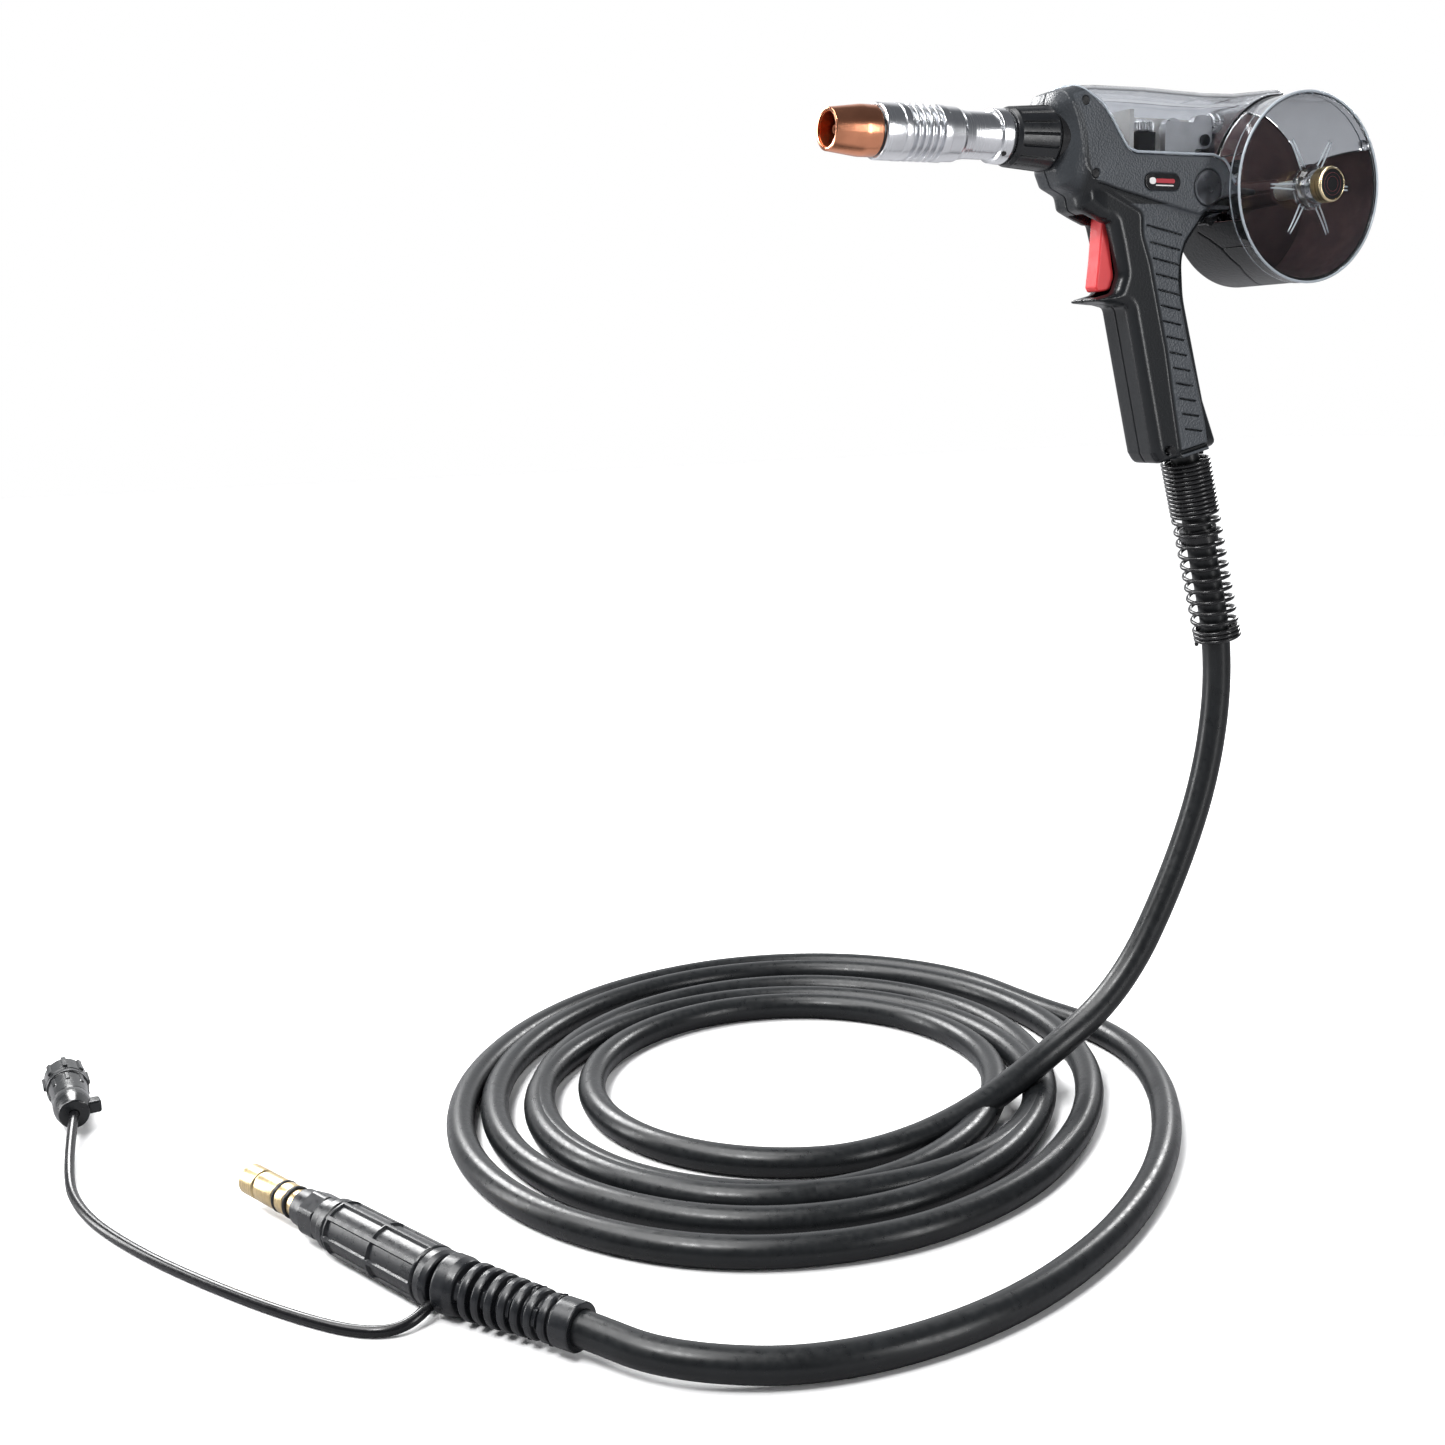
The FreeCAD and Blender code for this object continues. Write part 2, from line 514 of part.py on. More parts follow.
nut_grooves = []
for turn in range(12):
    angle = math.radians(30 * turn)
    nut_grooves.append(rod(
        "1.1", "22", ("barrel_nut_front + 3.6", f"18.3 * {math.cos(angle):.5f}",
                      f"axis_height + 18.3 * {math.sin(angle):.5f}"), X_AXIS))
node("barrel_nut", cut(
    stepped(("barrel_nut_front", "0", "axis_height"), X_AXIS,
            ("3", "barrel_nut_front_radius - 1", "barrel_nut_front_radius + 0.6"),
            ("barrel_nut_length - 4.5", "barrel_nut_front_radius + 0.6", "barrel_nut_radius"),
            ("1.5", "barrel_nut_radius", "barrel_nut_radius - 1")),
    rod("tube_radius + 0.08", "40", ("barrel_nut_front - 4", "0", "axis_height"), X_AXIS),
    *nut_grooves))
node("barrel_socket", tube("16.8", "tube_radius + 0.05", "18", ("-84.4", "0", "axis_height"), X_AXIS))

# ---------------------------------------------------------------- trigger
TRIGGER_OUTLINE = (
    (-51, 84, 3), (-46.6, 94, 3), (-39.4, 94, 3), (-37.6, 80, 4), (-33.4, 55, 4), (-35.5, 49.6, 2),
    (-53.3, 49.2, 3), (-56.2, 53.5, 4), (-53.3, 66, 30),
)
node("trigger", cut(slab(TRIGGER_OUTLINE, "-5.6", "11.2"),
                    rod("1.55", "14", ("trigger_pin_x", "-7", "trigger_pin_z"), Y_AXIS)))
node("trigger_pin", rod("1.5", "24", ("trigger_pin_x", "-12", "trigger_pin_z"), Y_AXIS))
node("trigger_spring", tube("3.2", "1.9", "1.8", ("trigger_pin_x", "6.6", "trigger_pin_z"), Y_AXIS))
node("trigger_switch", fuse(block("11", "11", "18", ("-24", "-5.5", "60")),
                            block("8", "3", "3", ("-32", "-1.5", "68"))))

# ---------------------------------------------------------------- cable, coil and plugs
FLOOR = -SIZE["floor_depth"]
CABLE_LEVEL = FLOOR + SIZE["cable_radius"]
DROP_ROUTE = (
    (17.9, 0, -30), (56, 0, -177), (49, 0, -250), (22, -1, -318), (-20, 0, -390), (-82, 2, -428),
    (-160, -20, CABLE_LEVEL + 1), (-235, -34, CABLE_LEVEL),
)
TAIL_ROUTE = (
    (2, 120, CABLE_LEVEL), (14, 70, CABLE_LEVEL), (6, 10, CABLE_LEVEL), (-32, -60, CABLE_LEVEL),
    (-95, -130, CABLE_LEVEL), (-180, -188, CABLE_LEVEL), (-275, -222, CABLE_LEVEL),
    (-368, -220, CABLE_LEVEL), (-433, -186, CABLE_LEVEL + 4),
    (-458, -141, FLOOR + SIZE["plug_height"]),
)
LEAD_LEVEL = FLOOR + SIZE["lead_radius"]
LEAD_ROUTE = (
    (-511, -71, FLOOR + 8.5), (-523, -79, LEAD_LEVEL + 1), (-545, -73, LEAD_LEVEL),
    (-572, -38, LEAD_LEVEL), (-603, 17, LEAD_LEVEL), (-631, 77, LEAD_LEVEL), (-650, 137, LEAD_LEVEL),
    (-652, 192, LEAD_LEVEL + 2), (-637, 262, FLOOR + 14.6),
)
node("strain_spring", cut(
    stepped(("23.2", "0", "-50.8"), CABLE_EXIT, ("24", "18.4", "16.8"), ("16", "16.8", "14.8"),
            ("84", "14.8", "14.3")),
    rod("12.2", "140", ("21.2", "0", "-43"), CABLE_EXIT)))
node("cable_clamp", tube("11.6", "cable_radius + 0.1", "9", ("35", "0", "-96.4"), CABLE_EXIT))
node("power_cable_drop", swept_cord(DROP_ROUTE, SIZE["cable_radius"]))
node("cable_coil", cut(
    rod("coil_outer_radius", "coil_height", ("coil_x", "coil_y", "-floor_depth"), Z_AXIS),
    rod("coil_inner_radius", "coil_height + 2", ("coil_x", "coil_y", "-floor_depth - 1"), Z_AXIS)))
node("power_cable_tail", swept_cord(TAIL_ROUTE, SIZE["cable_radius"]))

PLUG_AXIS = Vector(-0.325, 0.946, 0).normalize()
BOOT_AXIS = Vector(-0.487, 0.873, 0).normalize()
BOOT_START = ("-458", "-141", "-floor_depth + plug_height")
SHOULDER = ("-501", "-64", "-floor_depth + plug_height")


def beyond(at, along, distance):
    return tuple(f"{text} + {part} * {distance}" for text, part in zip(at, along))


node("cable_boot", cut(
    stepped(BOOT_START, BOOT_AXIS, ("12", "12.2", "12.2"), ("8", "11", "11.2"), ("58", "11.2", "14"),
            ("7", "14.4", "14.8")),
    rod("cable_radius + 0.05", "40", BOOT_START, BOOT_AXIS)))
node("connector_sleeve", stepped(SHOULDER, PLUG_AXIS, ("6", "13.5", "15.2"), ("86", "15.2", "14.6"),
                                 ("3", "14.6", "13")))
node("connector_nut", cut(stepped(beyond(SHOULDER, PLUG_AXIS, 95), PLUG_AXIS,
                                  ("20", "12.6", "12.6"), ("12", "11.2", "10.4")),
                          rod("8", "60", beyond(SHOULDER, PLUG_AXIS, 94), PLUG_AXIS)))
node("brass_plug", cut(stepped(
    beyond(SHOULDER, PLUG_AXIS, 96), PLUG_AXIS, ("33", "7.95", "7.95"), ("4", "7.95", "7.95"),
    ("3", "6.8", "6.8"), ("8", "8.9", "8.9"), ("3", "6.8", "6.8"), ("18", "8.9", "8.9"),
    ("2.4", "8.1", "8.1"), ("13", "8.9", "8.9"), ("1.4", "8.9", "8")),
    rod("2.2", "30", beyond(SHOULDER, PLUG_AXIS, 160), PLUG_AXIS)))
node("plug_o_rings", group(
    torus("8.1", "1.25", beyond(SHOULDER, PLUG_AXIS, 134.5), PLUG_AXIS),
    torus("8.1", "1.25", beyond(SHOULDER, PLUG_AXIS, 145.5), PLUG_AXIS)))
node("control_lead", swept_cord(LEAD_ROUTE, SIZE["lead_radius"]))

LEAD_PLUG_AXIS = Vector(0.04, 0.999, 0).normalize()
LEAD_PLUG = ("-637", "262", "-floor_depth + 14.6")
node("lead_clamp", fuse(
    stepped(LEAD_PLUG, LEAD_PLUG_AXIS, ("14", "9.5", "11.5"), ("6", "11.5", "11.5")),
    block("10", "9", "7", ("-629", "268", "-floor_depth + 11"))))
node("lead_plug_body", cut(
    stepped(beyond(LEAD_PLUG, LEAD_PLUG_AXIS, 20), LEAD_PLUG_AXIS, ("26", "11", "12.2"),
            ("5", "13.2", "13.2"), ("21", "10.9", "10.9")),
    rod("9.4", "16", beyond(LEAD_PLUG, LEAD_PLUG_AXIS, 60), LEAD_PLUG_AXIS)))
lugs = []
for turn in range(8):
    angle = math.radians(45 * turn)
    side = LEAD_PLUG_AXIS.cross(Z_AXIS)
    offset = side * (12.7 * math.cos(angle)) + Z_AXIS * (12.7 * math.sin(angle))
    start = beyond(LEAD_PLUG, LEAD_PLUG_AXIS, 52.5)
    lugs.append(rod("1.9", "17", tuple(f"{text} + {part:.4f}" for text, part in zip(start, offset)),
                    LEAD_PLUG_AXIS))
node("lead_plug_ring", cut(fuse(
    rod("13.2", "19", beyond(LEAD_PLUG, LEAD_PLUG_AXIS, 51.5), LEAD_PLUG_AXIS), *lugs),
    rod("11.3", "30", beyond(LEAD_PLUG, LEAD_PLUG_AXIS, 48), LEAD_PLUG_AXIS)))
pins = []
for turn in range(6):
    angle = math.radians(60 * turn)
    side = LEAD_PLUG_AXIS.cross(Z_AXIS)
    offset = side * (5 * math.cos(angle)) + Z_AXIS * (5 * math.sin(angle))
    start = beyond(LEAD_PLUG, LEAD_PLUG_AXIS, 60)
    pins.append(rod("0.9", "9", tuple(f"{text} + {part:.4f}" for text, part in zip(start, offset)),
                    LEAD_PLUG_AXIS))
node("lead_plug_pins", group(*pins))

# ---------------------------------------------------------------- checks and export
doc.recompute()
faults = []
for item in doc.Objects:
    if "Invalid" in item.State or "Error" in item.State:
        faults.append(f"{item.Name} {item.Label} {item.State}")
for item in nodes:
    if item.Shape.isNull() or not item.Shape.isValid():
        faults.append(f"{item.Label} shape")
if faults:
    raise RuntimeError("; ".join(faults))
os.makedirs("parts", exist_ok=True)
for item in nodes:
    item.Shape.exportStep(f"parts/{item.Label}.step")
    print(f"{item.Label}: {len(item.Shape.Solids)} solids, {item.Shape.Volume:.0f} mm3")
print(len(nodes), "sub-parts")
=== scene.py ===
"""Spool gun: the looks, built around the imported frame.

Lengths are millimetres in the row frame and turn into metres where a piece is made.  The origin is
the centre of the grip, +X runs from the nozzle to the drum, +Z is up and -Y is the cover's side.
"""

import functools
from math import acos, atan2, ceil, cos, exp, floor, hypot, pi, radians, sin, sqrt, tan

import bmesh
import bpy
import numpy as np
from mathutils import Matrix, Vector


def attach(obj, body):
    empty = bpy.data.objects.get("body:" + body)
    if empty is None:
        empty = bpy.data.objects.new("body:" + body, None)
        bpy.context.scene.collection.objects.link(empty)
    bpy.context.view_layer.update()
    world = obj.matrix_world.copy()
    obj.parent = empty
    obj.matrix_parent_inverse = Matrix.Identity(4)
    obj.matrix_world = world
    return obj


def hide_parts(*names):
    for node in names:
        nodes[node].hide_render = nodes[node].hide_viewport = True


MM = 0.001
CAMERA_PLACE = (-0.7407, -0.8754, -0.00205)
FLOOR = -454.3
AXIS_HEIGHT = 135
DRUM_X, DRUM_Z = 80, 107.3
X_AXIS, Y_AXIS, Z_AXIS = np.eye(3)

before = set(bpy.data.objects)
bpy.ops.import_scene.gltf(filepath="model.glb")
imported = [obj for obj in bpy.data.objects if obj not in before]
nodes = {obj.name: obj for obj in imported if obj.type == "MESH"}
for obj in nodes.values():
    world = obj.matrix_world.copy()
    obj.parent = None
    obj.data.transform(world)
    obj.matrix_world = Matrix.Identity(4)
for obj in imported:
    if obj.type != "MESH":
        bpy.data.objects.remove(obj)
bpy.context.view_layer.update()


def unit(direction):
    direction = np.array(direction, float)
    return direction / np.linalg.norm(direction)


CABLE_EXIT = unit((0.251, 0, -0.968))
PLUG_Z = FLOOR + 15.5
BOOT_START = np.array((-458, -141, PLUG_Z))
BOOT_AXIS = unit((-0.487, 0.873, 0))
SHOULDER = np.array((-501, -64, PLUG_Z))
PLUG_AXIS = unit((-0.325, 0.946, 0))
LEAD_PLUG = np.array((-637, 262, FLOOR + 14.6))
LEAD_PLUG_AXIS = unit((0.04, 0.999, 0))


# ---- camera, floor and light
def new_object(name, data):
    item = bpy.data.objects.new(name, data)
    bpy.context.scene.collection.objects.link(item)
    return item


def new_node(tree, kind):
    return tree.nodes.new("ShaderNode" + kind)


def set_inputs(node, **values):
    for name, value in values.items():
        node.inputs[name.replace("_", " ")].default_value = value


def link(source, socket):
    socket.id_data.links.new(source, socket)


def mixed(tree, share, first, second):
    """Two colours mixed, each a fixed colour or another node's."""
    node = new_node(tree, "Mix")
    node.data_type = "RGBA"
    link(share, node.inputs[0])
    for place, colour in ((6, first), (7, second)):
        if isinstance(colour, tuple):
            node.inputs[place].default_value = (*colour, 1)
        else:
            link(colour, node.inputs[place])
    return node.outputs[2]


def seen_as(tree, colour, seen):
    """One colour for the light that falls on the object, and another for the camera."""
    return mixed(tree, new_node(tree, "LightPath").outputs["Is Camera Ray"], colour, seen)


def make_camera():
    yaw, pitch, roll = 0.463, 0.1843, -0.0284
    away = Vector((sin(yaw) * cos(pitch), cos(yaw) * cos(pitch), -sin(pitch)))
    right = Vector((cos(yaw), -sin(yaw), 0))
    up = right.cross(away)
    level = cos(roll) * right + sin(roll) * up
    upright = cos(roll) * up - sin(roll) * right
    camera = new_object("camera", bpy.data.cameras.new("camera"))
    camera.matrix_world = (Matrix.Translation(CAMERA_PLACE)
        @ Matrix((level, upright, -away)).transposed().to_4x4())
    camera.data.lens = 44.53
    bpy.context.scene.camera = camera


def make_world():
    """White as it is seen; what lights the object is a bright backdrop and a dim room."""
    world = bpy.data.worlds.new("studio")
    bpy.context.scene.world = world
    world.use_nodes = True
    tree = world.node_tree
    toward_backdrop = new_node(tree, "VectorMath")
    toward_backdrop.operation = "DOT_PRODUCT"
    toward_backdrop.inputs[1].default_value = (0.45, 0.89, 0)
    ramp = new_node(tree, "ValToRGB")
    ramp.color_ramp.interpolation = "EASE"
    ramp.color_ramp.elements[0].position = 0.45
    ramp.color_ramp.elements[0].color = (0.12, 0.125, 0.135, 1)
    ramp.color_ramp.elements[1].position = 0.95
    ramp.color_ramp.elements[1].color = (0.92, 0.93, 0.95, 1)
    link(new_node(tree, "TexCoord").outputs["Generated"], toward_backdrop.inputs[0])
    link(toward_backdrop.outputs["Value"], ramp.inputs[0])
    link(seen_as(tree, ramp.outputs[0], (1, 1, 1)), tree.nodes["Background"].inputs["Color"])


def area_light(name, place, target, size, power, height=None):
    light = bpy.data.lights.new(name, "AREA")
    light.shape = "ELLIPSE"
    light.size = size
    light.size_y = height or size
    light.energy = power
    holder = new_object(name, light)
    holder.location = place
    holder.visible_camera = False
    holder.rotation_euler = (Vector(target) - Vector(place)).to_track_quat("-Z", "Y").to_euler()


def make_lights():
    area_light("key", (-1.5, -0.7, 1.5), (-0.1, 0, 0), 0.6, 34)
    area_light("front_strip", (0.55, -1.6, 0.2), (0, 0, 0), 0.35, 12, 1.1)
    area_light("left_strip", (-1.5, 0.9, 0.1), (0, 0, -0.1), 0.3, 15, 1.4)
    area_light("back", (-0.5, 1.7, 0.9), (-0.2, 0, -0.3), 0.9, 42)
    area_light("rim", (1.5, 0.9, 0.7), (0, 0, 0), 0.5, 18)
    sun = bpy.data.lights.new("sun", "SUN")
    sun.energy = 3.3
    sun.angle = radians(45)
    new_object("sun", sun).rotation_euler = (radians(-8), radians(-20), 0)


# ---- materials
def noise(tree, source, scale, detail=3, dimensions="3D"):
    node = new_node(tree, "TexNoise")
    node.noise_dimensions = dimensions
    set_inputs(node, Scale=scale, Detail=detail)
    link(source, node.inputs["W" if dimensions == "1D" else "Vector"])
    return node.outputs["Fac"]


def spread(tree, source, low, high):
    """A noise value spread over low to high."""
    node = new_node(tree, "MapRange")
    set_inputs(node, From_Min=0.3, From_Max=0.7, To_Min=low, To_Max=high)
    link(source, node.inputs["Value"])
    return node.outputs["Result"]


def bump(tree, height, strength, distance, before=None):
    node = new_node(tree, "Bump")
    set_inputs(node, Strength=strength, Distance=distance * MM)
    link(height, node.inputs["Height"])
    if before is not None:
        link(before, node.inputs["Normal"])
    return node.outputs["Normal"]


def along_axis(tree, coords, axis):
    """How far a point lies along an axis, in millimetres."""
    node = new_node(tree, "VectorMath")
    node.operation = "DOT_PRODUCT"
    node.inputs[1].default_value = tuple(component / MM for component in axis)
    link(coords, node.inputs[0])
    return node.outputs["Value"]


def surface(colour, roughness, metallic=0, mottle=0.1, grain=0.15, grain_size=0.6, turning=None, **sockets):
    """A worn surface: colour and gloss vary a little, with a fine grain or a lathe's marks."""
    material = bpy.data.materials.new("finish")
    material.use_nodes = True
    tree = material.node_tree
    shader = tree.nodes["Principled BSDF"]
    set_inputs(shader, Metallic=metallic, **sockets)
    coords = new_node(tree, "TexCoord").outputs["Object"]
    ramp = new_node(tree, "ValToRGB")
    ramp.color_ramp.elements[0].position = 0.3
    ramp.color_ramp.elements[1].position = 0.7
    for element, share in zip(ramp.color_ramp.elements, (1 - mottle, 1 + mottle)):
        element.color = tuple(min(1, channel * share) for channel in colour) + (1,)
    link(noise(tree, coords, 70), ramp.inputs[0])
    link(ramp.outputs[0], shader.inputs["Base Color"])
    uneven = noise(tree, coords, 260, 4)
    normal = bump(tree, noise(tree, coords, 1 / (grain_size * MM), 2), grain, 0.12)
    if turning is not None:
        lines = noise(tree, along_axis(tree, coords, turning), 2.2, 6, "1D")
        normal = bump(tree, lines, 0.35, 0.05, normal)
        uneven = lines
    link(spread(tree, uneven, roughness * 0.8, roughness * 1.25), shader.inputs["Roughness"])
    link(normal, shader.inputs["Normal"])
    return material


def studio_floor():
    """A pale floor that shows white, and throws only some of its light back on the object."""
    material = surface((0.24, 0.24, 0.25), 0.7, mottle=0.01, grain=0.02)
    tree = material.node_tree
    base = tree.nodes["Principled BSDF"].inputs["Base Color"]
    link(seen_as(tree, base.links[0].from_socket, (0.97, 0.97, 0.97)), base)
    return material


def spun_face(colour):
    """Dark metal spun about the Y axis, so its highlights run outward."""
    material = surface(colour, 0.34, metallic=0.85, grain=0.03, Anisotropic=0.85)
    tree = material.node_tree
    tangent = new_node(tree, "Tangent")
    tangent.direction_type = "RADIAL"
    tangent.axis = "Y"
    link(tangent.outputs[0], tree.nodes["Principled BSDF"].inputs["Tangent"])
    return material


def moulded_nylon(colour):
    """Black nylon: spark-textured where the mesh's grain is 1, smooth where it is 0; the paler base colour
    on the textured faces is painted sheen.
    """
    material = surface(colour, 0.3, grain=0.05, Specular_IOR_Level=0.38)
    tree = material.node_tree
    shader = tree.nodes["Principled BSDF"]
    grain = new_node(tree, "Attribute")
    grain.attribute_name = "grain"
    base = shader.inputs["Base Color"]
    smooth = (0.006, 0.007, 0.008)
    # Painted sheen: the textured faces take the paler colour and the smooth mouldings the plain black.
    link(mixed(tree, grain.outputs["Fac"], smooth, base.links[0].from_socket), base)
    coords = new_node(tree, "TexCoord").outputs["Object"]
    pits = new_node(tree, "TexVoronoi")
    set_inputs(pits, Scale=1 / (1.3 * MM))
    link(coords, pits.inputs["Vector"])
    texture = bump(tree, pits.outputs["Distance"], 1, 0.3)
    link(grain.outputs["Fac"], texture.node.inputs["Strength"])
    link(texture, shader.inputs["Normal"])
    gloss = new_node(tree, "MapRange")
    set_inputs(gloss, To_Min=0.26, To_Max=0.42)
    link(grain.outputs["Fac"], gloss.inputs["Value"])
    link(gloss.outputs["Result"], shader.inputs["Roughness"])
    return material


GLASS = {"Transmission_Weight": 1, "IOR": 1.46}
MATERIALS = {
    # The shell's grey-blue colour is the painted sheen of its spark texture; the drum's colour carries a
    # little of the same painted sheen.
    "shell": moulded_nylon((0.064, 0.071, 0.08)),
    "drum": moulded_nylon((0.01, 0.012, 0.014)),
    "inside": surface((0.19, 0.105, 0.1), 0.5, mottle=0.25, grain=0.2, grain_size=2),
    "clear": surface((0.86, 0.87, 0.89), 0.012, mottle=0.02, grain=0, **GLASS),
    "smoke": surface((0.46, 0.47, 0.49), 0.012, mottle=0.03, grain=0, **GLASS),
    "crystal": surface((0.93, 0.94, 0.95), 0.05, mottle=0.02, grain=0.03, **GLASS),
    "red": surface((0.78, 0.055, 0.062), 0.38, mottle=0.06, grain=0.25, grain_size=0.8,
        Subsurface_Weight=0.12, Subsurface_Scale=0.003),
    "gloss": surface((0.012, 0.012, 0.013), 0.2, grain=0.06),
    "dial": spun_face((0.1, 0.105, 0.115)),
    "white": surface((0.8, 0.8, 0.78), 0.42, mottle=0.05, grain=0.12),
    "pale": surface((0.62, 0.63, 0.65), 0.35, metallic=0.6, mottle=0.12, grain=0.2),
    "copper": surface((0.72, 0.3, 0.17), 0.2, metallic=1, mottle=0.16, grain=0.08, turning=X_AXIS),
    "copper_inside": surface((0.55, 0.16, 0.06), 0.35, metallic=1, mottle=0.3),
    "brass": surface((0.7, 0.54, 0.3), 0.28, metallic=1, mottle=0.1, turning=PLUG_AXIS),
    "nut_brass": surface((0.8, 0.66, 0.42), 0.24, metallic=1, mottle=0.12, turning=Y_AXIS),
    "aluminium": surface((0.8, 0.81, 0.83), 0.22, metallic=1, mottle=0.06, grain=0.06, turning=X_AXIS),
    "steel": surface((0.76, 0.77, 0.79), 0.3, metallic=0.8, mottle=0.08, grain=0.12),
    "gearbox": surface((0.05, 0.047, 0.052), 0.42, metallic=0.3, mottle=0.2, grain=0.3),
    "spring": surface((0.01, 0.01, 0.011), 0.26, grain=0.08),
    "cable": surface((0.008, 0.009, 0.01), 0.32, mottle=0.2, grain=0.06, grain_size=1.8,
        Specular_IOR_Level=0.4),
    "lead": surface((0.006, 0.006, 0.007), 0.24, mottle=0.15, grain=0.1, grain_size=1.2,
        Specular_IOR_Level=0.4),
    "rubber": surface((0.01, 0.011, 0.013), 0.3, mottle=0.12, grain=0.12),
    # edge: pale blue-grey for the thin beads on the clear cover, a painted highlight of its bright clear
    # edges.
    "edge": surface((0.58, 0.64, 0.7), 0.12, mottle=0.03, grain=0.03, Transmission_Weight=0.35, IOR=1.46),
    "ring": surface((0.012, 0.012, 0.013), 0.3, grain=0.1),
    "plug": surface((0.009, 0.01, 0.011), 0.22, mottle=0.15, grain=0.08),
    "mark_white": surface((0.85, 0.84, 0.82), 0.4, grain=0.05),
    "mark_dim": surface((0.1, 0.012, 0.016), 0.45, grain=0.05),
    "mark_red": surface((0.42, 0.02, 0.035), 0.4, grain=0.05),
    "floor": studio_floor(),
}
for key, material in MATERIALS.items():
    material.name = key


# ---- building blocks
def place_piece(name, data, finish, replaced, body):
    """Put a mesh or a curve in the scene; replaced holds the names of CAD nodes it stands for."""
    data.materials.append(MATERIALS[finish])
    item = new_object(name, data)
    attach(item, body)
    if replaced:
        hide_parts(*replaced.split())
    return item


def add(name, points, faces, finish, slot, replaced="", body="gun", crease=32, tidy=True):
    """Make a piece from points in millimetres, and let it ride on a body."""
    mesh = bpy.data.meshes.new(name)
    mesh.from_pydata((np.asarray(points).reshape(-1, 3) * MM).tolist(), [], faces)
    if tidy:
        work = bmesh.new()
        work.from_mesh(mesh)
        bmesh.ops.remove_doubles(work, verts=work.verts, dist=2e-6)
        bmesh.ops.recalc_face_normals(work, faces=work.faces)
        work.to_mesh(mesh)
        work.free()
    mesh.shade_smooth()
    mesh.set_sharp_from_angle(angle=radians(crease))
    return place_piece(name, mesh, finish, replaced, body)


ARC_STEPS = 6


def rounded(corners, closed=True):
    """A line through (a, b, corner radius) points, with its corners turned into arcs."""
    places = np.array([corner[:2] for corner in corners], float)
    points = []
    for index, here in enumerate(places):
        radius = corners[index][2] if len(corners[index]) > 2 else 0
        last = not closed and index in (0, len(places) - 1)
        before = places[index - 1] - here
        after = places[(index + 1) % len(places)] - here
        shorter = min(np.linalg.norm(before), np.linalg.norm(after))
        if radius <= 0 or last or shorter < 1e-6:
            points.append(here)
            continue
        before, after = unit(before), unit(after)
        half_angle = acos(np.clip(before @ after, -1, 1)) / 2
        if half_angle > pi / 2 - 0.01:
            points.append(here)
            continue
        reach = min(radius / tan(half_angle), 0.48 * shorter)
        radius = reach * tan(half_angle)
        centre = here + unit(before + after) * radius / sin(half_angle)
        start = here + before * reach - centre
        finish = here + after * reach - centre
        first = atan2(start[1], start[0])
        turn = (atan2(finish[1], finish[0]) - first + pi) % (2 * pi) - pi
        for share in np.linspace(0, 1, ARC_STEPS):
            angle = first + turn * share
            points.append(centre + radius * np.array((cos(angle), sin(angle))))
    return np.array(points)


def divided(line, step, closed):
    """The same line with no run longer than step."""
    points = []
    ends = np.vstack((line, line[:1])) if closed else line
    for start, finish in zip(ends, ends[1:]):
        count = max(1, ceil(np.linalg.norm(finish - start) / step))
        points.extend(start + (finish - start) * share / count for share in range(count))
    if not closed:
        points.append(line[-1])
    return np.array(points)


def grid_faces(rows, columns, closed=False):
    """Quads of a tube of rings; closed joins its last ring to its first."""
    faces = []
    for row in range(rows if closed else rows - 1):
        below = (row + 1) % rows
        for column in range(columns):
            beside = (column + 1) % columns
            faces.append((row * columns + column, row * columns + beside, below * columns + beside,
                below * columns + column))
    return faces


def turned(name, at, along, profile, finish, slot, replaced="", change=None, step=None, sides=96,
        **options):
    """A piece turned on an axis from (distance, radius, corner radius) points; change adds to the
    radius by distance and angle.  A profile that starts off the axis is a closed ring."""
    along = unit(along)
    side = unit(np.cross(along, Z_AXIS if abs(along[2]) < 0.8 else Y_AXIS))
    above = np.cross(side, along)
    closed = profile[0][1] > 0
    line = rounded(profile, closed)
    if step:
        line = divided(line, step, closed)
    angle = np.arange(sides) * 2 * pi / sides
    distance = line[:, :1] + 0 * angle
    radius = line[:, 1:] + 0 * angle
    if change is not None:
        radius = radius + change(distance, angle[None, :], radius)
    ring = np.cos(angle)[:, None] * side + np.sin(angle)[:, None] * above
    points = np.asarray(at) + distance[..., None] * along + radius[..., None] * ring[None]
    faces = grid_faces(len(line), sides, closed)
    return add(name, points, faces, finish, slot, replaced, **options)


def knurl(beyond, depth, count, start, end=(99, 98)):
    """Ridges round a turned piece, faded out at its ends."""
    def change(distance, angle, radius):
        faded = smooth_step(*start, distance) * smooth_step(*end, distance)
        return np.where(radius > beyond, depth * np.cos(count * angle) * faded, 0)

    return change


def lugs(beyond, start, end, height, above, ramp):
    """Eight lugs round a turned piece, from start to end along it."""
    def change(distance, angle, radius):
        within = (radius > beyond) & (distance > start) & (distance < end)
        return np.where(within, height * np.clip((np.cos(8 * angle) - above) / ramp, 0, 1), 0)

    return change


def soften(item, width):
    bevel = item.modifiers.new("rounded_edges", "BEVEL")
    bevel.width = width * MM
    bevel.segments = 3
    bevel.limit_method = "ANGLE"
    bevel.angle_limit = radians(40)
    bevel.harden_normals = True
    return item


def moulded(name, corners, start_y, end_y, edge, finish, slot, replaced="", **options):
    """An outline in the XZ plane, thick along Y, with rounded edges."""
    line = rounded(corners)
    count = len(line)
    points = [(x, y, z) for y in (start_y, end_y) for x, z in line]
    faces = [tuple(range(count)), tuple(range(2 * count - 1, count - 1, -1))]
    for index in range(count):
        beside = (index + 1) % count
        faces.append((index, index + count, beside + count, beside))
    return soften(add(name, points, faces, finish, slot, replaced, **options), edge)


def oblong(left, right, low, high, corner):
    return (left, low, corner), (right, low, corner), (right, high, corner), (left, high, corner)


